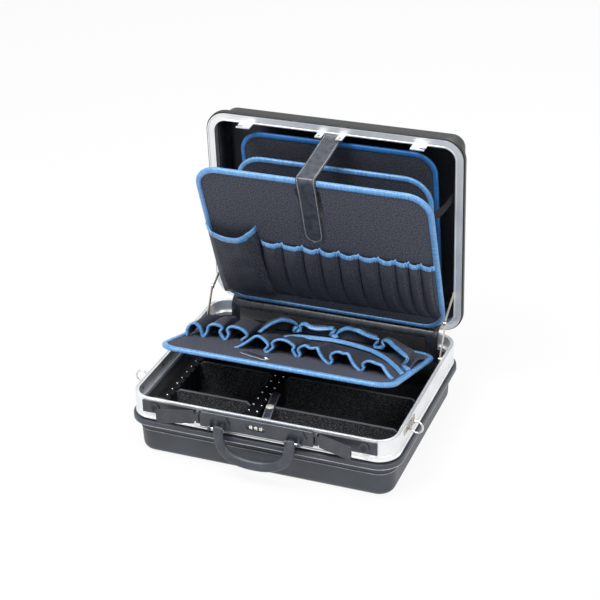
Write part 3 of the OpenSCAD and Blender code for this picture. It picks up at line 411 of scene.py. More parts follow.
def sweep(bm, profile, frames, closed=False):
    """Extrudes a closed profile from frame to frame. The flat map runs along the sweep."""
    flat = bm.loops.layers.uv.get("flat") or bm.loops.layers.uv.new("flat")
    ring = [bm.verts.new(frames[0] @ Vector((x, y, 0))) for x, y in profile]
    edges = [bm.edges.new((a, b)) for a, b in zip(ring, ring[1:] + ring[:1])]
    run = 0.0
    if not closed:
        bmesh.ops.contextual_create(bm, geom=edges)
    for before, after in zip(frames, frames[1:] + frames[:1] if closed else frames[1:]):
        grown = bmesh.ops.extrude_edge_only(bm, edges=edges)["geom"]
        inverse = before.inverted()
        bmesh.ops.transform(bm, matrix=after @ inverse, verts=only(bmesh.types.BMVert, grown))
        length = (after.translation - before.translation).length
        old = set(v for edge in edges for v in edge.verts)
        edges = [e for e in only(bmesh.types.BMEdge, grown) if not any(v in old for v in e.verts)]
        for face in only(bmesh.types.BMFace, grown):
            for loop in face.loops:
                along = run if loop.vert in old else run + length
                loop[flat].uv = (along * MM, (inverse @ loop.vert.co).x * MM)
        run += length
    if closed:
        bmesh.ops.remove_doubles(bm, verts=bm.verts, dist=0.01)
    else:
        bmesh.ops.contextual_create(bm, geom=edges)


def ring_profile(radius, sides=8):
    """Points round a circle, for the section of a thin bead."""
    turns = [2 * math.pi * i / sides for i in range(sides)]
    return [(radius * math.cos(a), radius * math.sin(a)) for a in turns]


def rounded_outline(w, h, r, steps, side, centre=(0, 0)):
    """Points and outward directions round a rounded rectangle, counter-clockwise, with so many
    steps round each corner and along each side."""
    middles = [Vector((centre[0] + sx * (w / 2 - r), centre[1] + sy * (h / 2 - r), 0))
               for sx, sy in ((1, 1), (-1, 1), (-1, -1), (1, -1))]
    out = []
    for quarter, (middle, following) in enumerate(zip(middles, middles[1:] + middles[:1])):
        for i in range(steps + 1):
            a = math.radians(90 * (quarter + i / steps))
            away = Vector((math.cos(a), math.sin(a), 0))
            out.append((middle + away * r, away))
        start, away = out[-1]
        end = following + away * r
        out += [(start.lerp(end, k / side), away) for k in range(1, side)]
    return out


def stitches(bm, points, ups, pitch, length, width, height):
    """A row of short thread stitches along a path."""
    run, due = 0.0, pitch / 2
    for a, b, up in zip(points, points[1:], ups):
        span = (b - a).length
        while span > 0 and run + span > due:
            ahead = (b - a) / span
            side = up.cross(ahead).normalized()
            turn = Matrix((side, ahead.cross(side), ahead)).transposed().to_4x4()
            middle = Matrix.Translation(a + ahead * (due - run)) @ turn
            size = Matrix.Diagonal((width, height, length, 1))
            bmesh.ops.create_cube(bm, size=1, matrix=middle @ size)
            due += pitch
        run += span


# ---------- tool panels ----------

BOARD_T = 4
PIPE_R = 3.2
# How far the binding tape reaches in from a board's edge.
TAPE_IN = 5.4


def upright(body, lean):
    """Local frame of a panel in the lid: x across, y up from its hinge edge, z out of its face."""
    return Matrix.Translation(JOINT_AT[body]) @ Matrix.Rotation(math.radians(90 + lean), 4, "X")


FRONT = upright("front_panel_body", 19.5)
MIDDLE = upright("middle_panel_body", 10)
REAR = upright("rear_panel_body", 9.8)
BASE = (Matrix.Translation(JOINT_AT["base_panel_body"])
        @ Matrix.Rotation(math.radians(-18), 4, "X"))
FRONT_W, FRONT_H = 423, 321
INNER_W, MIDDLE_H, REAR_H = 361, 280, 316
BASE_W, BASE_L = 418, 272
# The panels hang a little to one side of the case's middle.
INNER_SHIFT = Matrix.Translation((3.5, 0, 0))
BASE_SHIFT = Matrix.Translation((-2.5, 0, 0))


def tape_profile(half):
    """Section of a tape folded round a board's edge, with x through the board and y outwards."""
    turns = [math.radians(d) for d in range(-75, 76, 25)]
    arc = [(half * math.sin(a), half * math.cos(a)) for a in turns]
    foot = [(half, -TAPE_IN / 2), (half - 0.35, -TAPE_IN + 0.6), (half - 1.0, -TAPE_IN)]
    return [(-x, y) for x, y in foot[::-1]] + arc + foot


def tool_panel(which, place, w, h, r, half, tape=BLUE_TAPE, cloth=PANEL_CLOTH, towards=1):
    """A stiff board in cloth, a binding tape folded round its edge and the tape's stitching."""
    name, body = which + "_board", which + "_panel_body"
    w, h, r = w - 2 * PIPE_R, h - 2 * PIPE_R, r - PIPE_R
    outline = rounded_outline(w, h, r, 10, 6, (0, towards * h / 2))
    bm = bmesh.new()
    face = bm.faces.new([bm.verts.new(p) for p, away in outline])
    bmesh.ops.translate(bm, vec=(0, 0, -BOARD_T / 2), verts=bm.verts)
    grown = bmesh.ops.extrude_face_region(bm, geom=[face])["geom"]
    bmesh.ops.translate(bm, vec=(0, 0, BOARD_T), verts=only(bmesh.types.BMVert, grown))
    top = only(bmesh.types.BMFace, grown)
    for inset, rise in ((TAPE_IN, 0.0), (6, 0.5), (14, 0.35)):
        bmesh.ops.inset_region(bm, faces=top, thickness=inset, depth=rise)
    board = piece(bm, name, cloth, body, place)
    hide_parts(which + "_panel")

    bm = bmesh.new()
    points, outwards = zip(*outline)
    sweep(bm, tape_profile(half), frames_along(points, outwards, True), True)
    piece(bm, name + "_binding", tape, body, place)

    bm = bmesh.new()
    inner = [p - away * (TAPE_IN - 1.3) + Vector((0, 0, half - 0.35)) for p, away in outline]
    inner.append(inner[0])
    stitches(bm, inner, [UP] * len(inner), 4.2, 2.7, 0.55, 0.5)
    piece(bm, name + "_stitching", BLUE_THREAD, body, place, smooth=False)


# ---------- pockets ----------

# Width of a base pocket and height of any pocket on its flat map.
MAP_W, MAP_H = 60, 130


def cloth_row(which, place, name, node, pockets, columns, rows, tape_w, tape_t=1.3):
    """A row of pockets cut from one strip. Each pocket is a function of how far across it a
    point lies, u, and how far from its mouth to its root, v. The tape follows the mouths."""
    bm = bmesh.new()
    flat = bm.loops.layers.uv.new("flat")
    mouth, down = [], []
    for at, width in pockets:
        grid = bmesh.ops.create_grid(bm, x_segments=columns, y_segments=rows, size=1)["verts"]
        where = {v: ((v.co.x + 1) / 2, (1 - v.co.y) / 2) for v in grid}
        for v, (u, t) in where.items():
            v.co = at(u, t)
        for face in set(f for v in grid for f in v.link_faces):
            for loop in face.loops:
                u, t = where[loop.vert]
                loop[flat].uv = (u * width * MM, t * MAP_H * MM)
        for i in range(columns + 1):
            point = at(i / columns, 0)
            if not mouth or (point - mouth[-1]).length > 0.5:
                mouth.append(point)
                down.append((at(i / columns, 0.06) - point).normalized())
    bmesh.ops.remove_doubles(bm, verts=bm.verts, dist=0.3)
    area, length = sum(face.calc_area() for face in bm.faces), runs_along(mouth)[-1]
    thicken(bm, 1.0)
    body = which + "_panel_body"
    cloth = piece(bm, name, POCKET_CLOTH, body, place, keep_normals=True)
    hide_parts(node)
    bm = bmesh.new()
    half, t = tape_w / 2, tape_t
    profile = [(-t, -half + 0.7), (-t + 0.6, -half), (t - 0.6, -half), (t, -half + 0.7),
               (t, half - 0.7), (t - 0.6, half), (-t + 0.6, half), (-t, half - 0.7)]
    centre = [p + d * (half - 1) for p, d in zip(mouth, down)]
    sweep(bm, profile, frames_along(centre, [-d for d in down]))
    binding = piece(bm, name + "_binding", BLUE_TAPE, body, place)
    for soft in (cloth, binding):
        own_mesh(soft)


def mix(a, b, t):
    return a + (b - a) * t


def hump(u, power):
    """0 at both ends and 1 half way. A low power makes it flat-topped."""
    return max(math.sin(math.pi * u), 0.0) ** power


def crumple(x, y, size, height):
    """Smooth wrinkles, the same on every run."""
    return noise.noise(Vector((x / size, y / size, 3.7))) * height


SMALL_EDGES = [-110.5, -71.5, -33.5, -1.5, 33, 69, 105, 135.5, 159, 181, 205]
SMALL_MOUTH, SMALL_ROOT, SMALL_DEPTH = 162, 24, 6.5
LARGE_EDGES = (-208, -116)
LARGE_MOUTH, LARGE_ROOT, LARGE_DEPTH = 193, 16, 26


def small_pocket(x0, x1):
    """A pocket on the front panel: a flat-bottomed mouth between seams that stand up, cloth
    that bows out, and a crease beside each seam that hooks to the side at its foot."""
    def at(u, v):
        x = mix(x0, x1, u) - 3 * v + 9 * v ** 5
        y = mix(SMALL_MOUTH - 2.4 * hump(u, 0.35) * (1 - v), SMALL_ROOT, v)
        depth = SMALL_DEPTH * (1 - v ** 5) + 5.5 * math.sin(math.pi * v ** 0.6)
        fold = 2.6 * math.exp(-((u - 0.8) / 0.07) ** 2) * (1 - v ** 3)
        z = BOARD_T / 2 + 0.4 + depth * hump(u, 0.36) - fold
        return Vector((x, y, z + crumple(x, y, 15, 2.2) * hump(u, 1) * (1 - v)))
    return at


def large_pocket():
    """The deep pocket: a box bellows whose mouth sags. Its left side wraps the panel's edge,
    its right side is a gusset and its floor turns in sharply."""
    x0, x1 = LARGE_EDGES

    def at(u, v):
        x = mix(x0 + v, x1 + 14 * v, u)
        sag = 18 * hump(min(u / 0.9, 1), 0.85) * (1 - v) ** 0.8
        y = mix(LARGE_MOUTH - sag, LARGE_ROOT - 4 + 8 * u, v)
        belly = (1 - v ** 9) * mix(1.0, 0.75, v)
        side = min((1 - u) / 0.12, 1) ** 0.6 * min(0.1 + u / 0.16, 1) ** 0.6
        depth = LARGE_DEPTH * side * belly * mix(0.62, 0.9, min(u * 1.5, 1))
        z = BOARD_T / 2 + mix(3.4, 0.4, u) + depth
        return Vector((x, y, z + crumple(x, y, 30, 4.0) * hump(u, 1) * (1 - v ** 3)))
    return at


def arched_pocket(mouth, root_a, root_b, lift):
    """A pocket on the base panel. Its mouth runs through knots (x across, s forward of the
    hinge edge, z up), and its cloth falls from there to a root line between two places. The
    lift is how far the seams between two pockets stand off the panel."""
    points = smooth_path([(x, -s, z) for x, s, z in mouth], 5)
    runs = runs_along(points)

    def at(u, v):
        k = min(max(bisect.bisect_right(runs, u * runs[-1]) - 1, 0), len(points) - 2)
        edge = points[k].lerp(points[k + 1], (u * runs[-1] - runs[k]) / (runs[k + 1] - runs[k]))
        x = mix(edge.x, mix(root_a[0], root_b[0], u), v)
        y = mix(edge.y, -mix(root_a[1], root_b[1], u), v)
        z = mix(BOARD_T / 2 + 0.8, edge.z, (1 - v) ** 0.75)
        swell = math.sin(math.pi * v) ** 1.2 * mix(lift, lift + 3, hump(u, 0.8))
        creases = crumple(x, y, 19, 3.4) * math.sin(math.pi * v) * hump(u, 1)
        return Vector((x, y, z + swell + creases))
    return at


# Places that the base panel's pockets are sewn down at, and the knots of each one's mouth.
BASE_LEFT_ROOTS = [(-203, 9), (-176, 9), (-146, 9), (-92, 12)]
BASE_LEFT_MOUTHS = [
    [(-197, 175, 2.4), (-197, 175, 15.3), (-193, 173, 23.5), (-187, 170, 26.4), (-180, 167, 21.6),
     (-176, 165, 15), (-172, 163, 2.4)],
    [(-171, 162, 2.4), (-166, 160, 11.8), (-165, 160, 19.8), (-161, 160, 25.3), (-153, 159, 27.4),
     (-143, 158, 25.9), (-139, 157, 22.5), (-143, 158, 16.9), (-140, 157, 9.5), (-134, 156, 2.4)],
    [(-133, 153, 2.4), (-129, 150, 11.8), (-133, 150, 19.3), (-128, 149, 25.4), (-118, 147, 25.9),
     (-107, 144, 22.3), (-99, 142, 15.4), (-99, 142, 11.3), (-105, 143, 6.7), (-108, 144, 2.4)],
]
BASE_FRONT_ROOTS = [(-64, 78), (-40, 66), (10, 52), (66, 61), (128, 95), (192, 182)]
BASE_FRONT_MOUTHS = [
    [(-99, 196, 2.4), (-92, 196, 4.6), (-79, 195, 13.8), (-64, 194, 26.8), (-57, 194, 28.8),
     (-48, 193, 24.4), (-39, 193, 17), (-40, 193, 12.1), (-45, 193, 6.4), (-40, 193, 2.4)],
    [(-40, 193, 2.4), (-30, 192, 13.5), (-33, 192, 18.8), (-28, 192, 25.4), (-19, 191, 28.7),
     (-9, 190, 28.2), (1, 189, 23.9), (7, 188, 19.1), (4, 189, 13.8), (12, 188, 2.4)],
    [(13, 187, 2.4), (18, 187, 7.2), (13, 187, 14.9), (17, 187, 21), (27, 189, 25.2),
     (36, 190, 22.1), (48, 191, 25.4), (51, 192, 20.4), (57, 193, 12.9), (64, 194, 6.6),
     (72, 195, 2.4)],
    [(74, 198, 2.4), (79, 198, 9), (75, 198, 15.9), (78, 198, 22.3), (88, 200, 27),
     (98, 201, 25.8), (106, 202, 26.8), (110, 203, 21.8), (118, 204, 11.2), (125, 205, 5.8),
     (131, 206, 2.4)],
    [(132, 205, 2.4), (138, 207, 9.4), (134, 206, 14.2), (140, 207, 20.2), (148, 210, 23),
     (159, 213, 21.7), (170, 216, 20.4), (177, 218, 13.6), (186, 221, 5.5), (193, 223, 2.4)],
]
BASE_BACK_ROOTS = [(-104, 26), (-52, 9), (24, 9), (108, 9), (200, 50)]
BASE_BACK_MOUTHS = [
    [(-90, 109, 14), (-84, 97, 20.7), (-77, 83, 27.4), (-68, 64, 31.5), (-60, 46, 28.8),
     (-57, 41, 27.3), (-51, 28, 21.9), (-48, 21, 16.1), (-52, 31, 13), (-53, 33, 9.2),
     (-51, 28, 7)],
    [(-50, 27, 7), (-40, 26, 11.1), (-44, 27, 19.7), (-35, 26, 22.1), (-24, 25, 16.9),
     (-10, 24, 16.2), (6, 22, 19.3), (20, 21, 22), (22, 21, 18.2), (13, 22, 10.8), (22, 21, 7)],
    [(25, 18, 7), (24, 17, 13.5), (34, 19, 21.8), (48, 23, 26.9), (64, 29, 27.5), (78, 34, 24.7),
     (97, 40, 22.9), (111, 45, 22.1), (105, 43, 12.8), (102, 42, 8.1), (110, 45, 7)],
    [(112, 43, 7), (127, 62, 15), (118, 51, 23.2), (135, 72, 28.2), (152, 93, 26.1),
     (172, 118, 24.3), (191, 142, 22.6), (192, 143, 17.2), (182, 131, 7.6), (188, 138, 4),
     (199, 152, 3)],
]
MID_BAND = [(-58, 84), (-46, 72), (-28, 61), (17, 51), (44, 53), (69, 61), (105, 77), (130, 97),
            (151, 119), (175, 152), (197, 184)]
TAB_FROM, TAB_TO = (-73, 221), (-17, 244)


def make_pockets():
    row = [(small_pocket(a, b), b - a) for a, b in zip(SMALL_EDGES, SMALL_EDGES[1:])]
    cloth_row("front", FRONT, "front_small_pockets", "front_panel_pockets", row, 20, 18, 8.6)
    row = [(large_pocket(), LARGE_EDGES[1] - LARGE_EDGES[0])]
    cloth_row("front", FRONT, "front_large_pocket", "front_panel_pockets", row, 30, 30, 11.5)
    for side, roots, mouths, lift in (("left", BASE_LEFT_ROOTS, BASE_LEFT_MOUTHS, 9),
                                      ("front", BASE_FRONT_ROOTS, BASE_FRONT_MOUTHS, 1),
                                      ("back", BASE_BACK_ROOTS, BASE_BACK_MOUTHS, 9)):
        row = [(arched_pocket(mouth, a, b, lift), MAP_W)
               for mouth, a, b in zip(mouths, roots, roots[1:])]
        cloth_row("base", BASE, f"base_{side}_pockets", f"base_pockets_{side}", row,
                  24, 18, 8, 2.1)
    rise = [5.5 + 5 * math.sin(math.pi * i / (len(MID_BAND) - 1)) ** 0.7
            for i in range(len(MID_BAND))]
    band = smooth_path([(x, -s, z) for (x, s), z in zip(MID_BAND, rise)], 5)
    bm = bmesh.new()
    ribbon(bm, band, [Vector((0, -0.75, 0.66))] * len(band), [7.5] * len(band), 1.4)
    piece(bm, "base_seam_tape", BLUE_TAPE, "base_panel_body", BASE, keep_normals=True)


def make_tab():
    """A leather tab with a snap on the base panel, its edges burnished pale."""
    a, b = (Vector((x, -s, BOARD_T / 2 + 1.6)) for x, s in (TAB_FROM, TAB_TO))
    points = [a.lerp(b, i / 24) for i in range(25)]
    widths = [tongue(min(i, 24 - i) / 24 * (b - a).length, 16, 1.28) for i in range(25)]
    ups = [UP] * 25
    bm = bmesh.new()
    ribbon(bm, points, ups, widths, 1.6)
    piece(bm, "base_panel_leather", STRAP_LEATHER, "base_panel_body", BASE,
          keep_normals=True)
    bm = bmesh.new()
    rim = [f @ Vector((side * w / 2, 0.8, 0)) for side, order in ((1, 1), (-1, -1))
           for f, w in list(zip(frames_along(points, ups), widths))[::order]]
    sweep(bm, ring_profile(0.8), frames_along(rim, [UP] * len(rim), True), True)
    piece(bm, "base_panel_leather_edge", PALE_THREAD, "base_panel_body", BASE)
    bm = bmesh.new()
    middle = a.lerp(b, 0.93) + Vector((0, 0, 2.5))
    dome = Matrix.Translation(middle) @ Matrix.Diagonal((1, 1, 0.7, 1))
    bmesh.ops.create_uvsphere(bm, u_segments=24, v_segments=12, radius=4.2, matrix=dome)
    piece(bm, "base_panel_snap", CHROME, "base_panel_body", BASE)


# ---------- straps, tabs and the hinge cover ----------

def ribbon(bm, points, ups, widths, thickness):
    """A flat band along a path, of a width at each point, with its flat map along it."""
    flat = bm.loops.layers.uv.get("flat") or bm.loops.layers.uv.new("flat")
    frames = frames_along(points, ups)
    runs, last = runs_along(points), len(points) - 1
    for v in bmesh.ops.create_grid(bm, x_segments=6, y_segments=last, size=1)["verts"]:
        i = round((v.co.y + 1) / 2 * last)
        side = v.co.x / 2 * widths[i]
        v.co = frames[i] @ Vector((side, 0, 0))
        for loop in v.link_loops:
            loop[flat].uv = (runs[i] * MM, side * MM)
    thicken(bm, thickness)
    return frames


def smooth_path(knots, steps):
    """Catmull-Rom points through the knots."""
    out = []
    for i in range(len(knots) - 1):
        a, b, c, d = (Vector(knots[max(0, min(len(knots) - 1, i + k))]) for k in (-1, 0, 1, 2))
        for s in range(steps):
            t = s / steps
            out.append(0.5 * ((2 * b) + (c - a) * t + (2 * a - 5 * b + 4 * c - d) * t * t
                              + (3 * b - a - 3 * c + d) * t ** 3))
    return out + [Vector(knots[-1])]


def tongue(left, width, least=1.0):
    """Width of a band with a round end, where so much of its length is left."""
    half = width / 2
    return 2 * math.sqrt(max(half ** 2 - max(half - left, 0) ** 2, least))


STRAP_W = 34
STRAP_T = 2


def make_lid_strap():
    """The leather strap: from the lid's frame over the front panel's edge and down its face."""
    top, x, bend_r = FRONT_H - PIPE_R, -4, 5.6
    lid_end = Vector((4.5, 189.4, MATE_Z + 352.5))
    reach = FRONT.inverted() @ lid_end - Vector((x, top, 0))
    turn = math.atan2(-reach.z, reach.y)
    angles = [turn * i / 8 for i in range(8, -1, -1)]
    bend = [FRONT @ Vector((x, top + bend_r * math.sin(a), bend_r * math.cos(a))) for a in angles]
    crest = bend[0]
    span = smooth_path([lid_end, lid_end.lerp(crest, 0.35) + Vector((0, 0, -2)),
                        lid_end.lerp(crest, 0.75) + Vector((0, 0, -1.5)), crest], 8)
    knots = [(x, top - 10, 5.4), (x - 0.5, 290, 4.5), (x - 1.5, 250, 4), (x - 2.5, 215, 4),
             (x - 3, 179, 4)]
    face = smooth_path([bend[-1]] + [FRONT @ Vector(knot) for knot in knots], 6)
    points = span[:-1] + bend[:-1] + face
    ups = []
    for i, p in enumerate(points):
        ahead = points[min(i + 1, len(points) - 1)] - points[max(i - 1, 0)]
        ups.append(ahead.cross(-ACROSS).normalized())
    widths = [tongue((p - points[-1]).length, STRAP_W) for p in points]
    bm = bmesh.new()
    frames = ribbon(bm, points, ups, widths, -STRAP_T)
    strap = piece(bm, "lid_strap", STRAP_LEATHER, None, keep_normals=True)
    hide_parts("strap_span", "strap_end")
    start, finish = lid_end * MM, crest * MM
    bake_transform(strap)
    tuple(start)
    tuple(finish)
    bm = bmesh.new()
    for side in (-1, 1):
        edge = [f @ Vector((side * (w / 2 - 2.4), 0, 0)) - u * (STRAP_T + 0.1)
                for f, w, u in zip(frames, widths, ups)]
        stitches(bm, edge, [-u for u in ups], 4.4, 3.2, 0.8, 0.6)
    thread = piece(bm, "lid_strap_stitching", PALE_THREAD, None, smooth=False)
    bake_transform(thread)
    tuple(start)
    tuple(finish)
    runs_along(points)[-1] * MM


def make_hinge_cover():
    """A vinyl band that bridges the hinge gap, from the rear wall to the lid's lower edge."""
    half_l = 197
    profile = [(171, -58), (170.6, -45), (171.2, -27), (171.8, -13), (173.2, -4),
               (177.5, 3.2), (184, 8), (192, 11.5), (199, 13.6)]
    line = smooth_path([(0, y, MATE_Z + up) for y, up in profile], 5)
    bm = bmesh.new()
    flat = bm.loops.layers.uv.new("flat")
    last = len(line) - 1
    for v in bmesh.ops.create_grid(bm, x_segments=36, y_segments=last, size=1)["verts"]:
        x, k = mix(-half_l, half_l, (v.co.x + 1) / 2), round((v.co.y + 1) / 2 * last)
        y, z = line[k].yz
        ease = math.sin(math.pi * k / last)
        v.co = Vector((x, y - crumple(x, z, 60, 1.2) * ease, z + crumple(x, 5, 90, 0.8) * ease))
        for loop in v.link_loops:
            loop[flat].uv = (x * MM, k * 3 * MM)
    thicken(bm, 1.2)
    cover = piece(bm, "hinge_cover_band", HINGE_VINYL, None, keep_normals=True)
    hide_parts("hinge_cover")
    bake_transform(cover)
    runs_along(line)[-1] * MM


def slab(bm, centre, size):
    place = Matrix.Translation(centre) @ Matrix.Diagonal((*size, 1))
    bmesh.ops.create_cube(bm, size=1, matrix=place)


def make_hook_strips():
    """Hook tape sewn to the hinge cover's front and beside the strap on the front panel."""
    bm = bmesh.new()
    slab(bm, (-2, 169.9, MATE_Z - 29), (356, 1.4, 42))
    bmesh.ops.bevel(bm, geom=bm.edges[:], offset=0.5, segments=2, affect="EDGES")
    piece(bm, "cover_hook_tape", HOOK_TAPE, "base")
    bm = bmesh.new()
    for x, y, h in ((-24.5, 276, 44), (13.5, 268, 60)):
        slab(bm, (x, y, 3.2), (7, h, 0.8))
    bmesh.ops.bevel(bm, geom=bm.edges[:], offset=0.4, segments=2, affect="EDGES")
    piece(bm, "board_hook_tape", HOOK_TAPE, "front_panel_body", FRONT)


def make_side_tie():
    """The webbing that holds the front panel to the lid's right wall."""
    start = FRONT @ Vector((208, 268, -3.5))
    end = Vector((215, 190, start.z - 5))
    points = smooth_path([start, start.lerp(end, 0.5) + Vector((0, 0, -5)), end], 8)
    bm = bmesh.new()
    ribbon(bm, points, [ACROSS] * len(points), [15] * len(points), 1.4)
    tie = piece(bm, "side_tie", WEBBING, None, keep_normals=True)
    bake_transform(tie)
    runs_along(points)[-1] * MM


def make_snap_strap():
    """A leather tab across the front divider, with a stitched edge."""
    low, high = box_mm("snap_strap")
    turn = (Matrix.Translation(((low.x + high.x) / 2, (low.y + high.y) / 2, 0))
            @ Matrix.Rotation(math.radians(9.2), 4, "Z"))
    length = 86
    points = []
    for i in range(25):
        droop = 2.6 * ((i / 24 - 0.5) * 2) ** 4
        points.append(turn @ Vector((0, -length / 2 + length * i / 24, high.z - 1.2 - droop)))
    ups = [UP] * 25
    widths = [tongue(length * (24 - i) / 24, 16) for i in range(25)]
    bm = bmesh.new()
    frames = ribbon(bm, points, ups, widths, -1.8)
    strap = piece(bm, "snap_strap_leather", STRAP_LEATHER, "base",
                  keep_normals=True)
    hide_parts("snap_strap")
    bm = bmesh.new()
    for side in (-1, 1):
        edge = [f @ Vector((side * (w / 2 - 1.8), 0, 0)) + Vector((0, 0, 0.3))
                for f, w in zip(frames, widths)]
        stitches(bm, edge[:-2], ups, 3.6, 2.5, 0.6, 0.5)
    piece(bm, "snap_strap_stitching", PALE_THREAD, "base", smooth=False)


def make_flex_strips():
    """Cloth hinges: each joins the rear of a panel's binding to the case, with a slight bow
    between.
    """
    front, middle, rear, base = (JOINT_AT[f"{which}_panel_body"].copy()
                                 for which in ("front", "middle", "rear", "base"))
    strips = (("front_hinge_strip", "lid", "front_panel_body", "panel_hinge_strips", front,
               (199, front.z + 1.6)),
              ("middle_hinge_strip", "lid", "middle_panel_body", "panel_hinge_strips", middle,
               (middle.y + 3, MATE_Z + 1.5)),
              ("rear_hinge_strip", "lid", "rear_panel_body", "panel_hinge_strips", rear,
               (rear.y + 2, MATE_Z + 3.5)),
              ("base_panel_hinge_strip", "base", "base_panel_body", "base_panel_tab", base,
               (172.2, base.z)))
    for name, body, panel, node, pivot, sewn_at in strips:
        low, high = box_mm(node)
        pivot.x = 0
        far = Vector((0, *sewn_at))
        reach = (far - pivot).normalized()
        near = pivot + reach * PIPE_R
        out = reach.cross(ACROSS)
        points = [near.lerp(far, i / 8) + out * 0.8 * math.sin(math.pi * i / 8) for i in range(9)]
        bm = bmesh.new()
        ribbon(bm, points, [out] * 9, [high.x - low.x] * 9, 1.1)
        strip = piece(bm, name, WEBBING, None, keep_normals=True)
        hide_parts(node)
        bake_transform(strip)


# ---------- linings ----------

CASE_W, CASE_D, LID_H, CORNER_R = 465, 366, 68, 36


def case_outline(inset, steps, side):
    """The case's rounded outline, so far inside the face of its frame."""
    return rounded_outline(CASE_W - 2 * inset, CASE_D - 2 * inset, max(CORNER_R - inset, 2),
                           steps, side)


def lining(name, place, body, node, rings, material, thickness):
    """A fitted lining: rings of the case's rounded outline, each an inset from the frame's
    face and a height, bridged from its rim down its walls and across its floor."""
    bm = bmesh.new()
    loops = []
    for inset, height in rings:
        ring = [bm.verts.new((p.x, p.y, height)) for p, away in case_outline(inset, 8, 12)]
        loops.append([bm.edges.new((a, b)) for a, b in zip(ring, ring[1:] + ring[:1])])
    for a, b in zip(loops, loops[1:]):
        bmesh.ops.bridge_loops(bm, edges=a + b)
    bmesh.ops.contextual_create(bm, geom=loops[-1])
    for v in bm.verts:
        if rings[-1][1] + 2 < v.co.z < rings[0][1] - 2:
            inwards = Vector((-v.co.x, -v.co.y, 0)).normalized()
            v.co += inwards * (0.5 + crumple(v.co.x + v.co.z, v.co.y, 35, 1.0))
    thicken(bm, thickness)
    lined = piece(bm, name, material, body, place, keep_normals=True)
    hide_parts(node)


def make_linings():
    """The base's and the lid's. The lid's is drawn shut and then turned to the open lid."""
    turns = [math.radians(a) for a in range(0, 91, 18)]
    top = MATE_Z - 24.1
    walls = [(8.3, top), (8.3, top - 10), (8.4, top - 22), (8.4, top - 31), (11.6, top - 32),
             (12.1, 40), (12.7, 25)]
    arc = [(21 - 8.2 * math.cos(a), 13 - 8.2 * math.sin(a)) for a in turns]
    lining("base_lining", None, "base", "base_liner", walls + arc, LINING_FOAM, 1.2)
    back = MATE_Z + LID_H
    walls = [(15.9, 52), (16.0, 45), (16.1, 39), (16.8, 25)]
    arc = [(25.5 - 8.2 * math.cos(a), 13 - 8.2 * math.sin(a)) for a in turns]
    rings = [(inset, back - h) for inset, h in walls + arc]
    opened = (Matrix.Translation(HINGE) @ Matrix.Rotation(math.radians(-OPEN_ANGLE), 4, "X")
              @ Matrix.Translation(-HINGE))
    lining("lid_lining", opened, "lid", "lid_liner", rings, LINING_CLOTH, -1.2)


# ---------- small fittings ----------

def make_handle():
    """The soft grip: two flat arms that sweep round into a fuller bow."""
    pivot = JOINT_AT["handle"]
    half = [(62.4, 0, 5), (62.2, -0.6, -12), (59, -1.6, -26), (50.5, -3, -39.5), (35, -4, -48),
            (17.5, -4, -52)]
    knots = [(-x, y, z) for x, y, z in half] + [(0, -4, -53)] + half[::-1]
    points = smooth_path([pivot + Vector(k) for k in knots], 5)
    ups = [Vector((0, -1, 0))] * len(points)
    section = []
    for i in range(24):
        c, d = math.cos(2 * math.pi * i / 24), math.sin(2 * math.pi * i / 24)
        section.append((math.copysign(abs(c) ** 0.7, c), math.copysign(abs(d) ** 0.7, d)))
    frames = []
    for i, f in enumerate(frames_along(points, ups)):
        full = math.sin(math.pi * i / (len(points) - 1)) ** 1.6
        frames.append(f @ Matrix.Diagonal((mix(8.8, 9.3, full), mix(3.2, 7.8, full), 1, 1)))
    bm = bmesh.new()
    sweep(bm, section, frames)
    grip = piece(bm, "handle_grip", SOFT_GRIP, "handle")
    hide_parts("handle")


def make_studs():
    """Small bright studs along the slotted rails, one in the place of each that is modelled."""
    foot = box_mm("slot_studs")[0].z
    source = bmesh.new()
    source.from_mesh(frame["nodes"]["slot_studs"].data)
    bmesh.ops.remove_doubles(source, verts=source.verts, dist=1e-5)
    bm = bmesh.new()
    left = set(source.verts)
    for first in source.verts:
        if first not in left:
            continue
        island, edge = set(), {first}
        while edge:
            island |= edge
            edge = {e.other_vert(v) for v in edge for e in v.link_edges} - island
        left -= island
        middle = sum((v.co for v in source.verts if v in island), Vector()) / len(island) / MM
        bmesh.ops.create_uvsphere(bm, u_segments=16, v_segments=8, radius=2.1,
                                  matrix=Matrix.Translation((middle.x, middle.y, foot)))
    source.free()
    studs = piece(bm, "rail_studs", CHROME, "base")
    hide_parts("slot_studs")


def make_shell_beads():
    """Thin beads round the base shell, on its rim and below its step. Their pale grey is a painted
    highlight where the shell's edges catch the light.
    """
    bm = bmesh.new()
    for inset, height in ((-5.1, 61.9), (6.2, 45.2)):
        points, outwards = zip(*case_outline(inset, 10, 3))
        points = [p + UP * height for p in points]
        sweep(bm, ring_profile(0.9), frames_along(points, outwards, True), True)
    piece(bm, "base_shell_painted_highlight_beads", BEAD_PAINTED_HIGHLIGHT, "base")


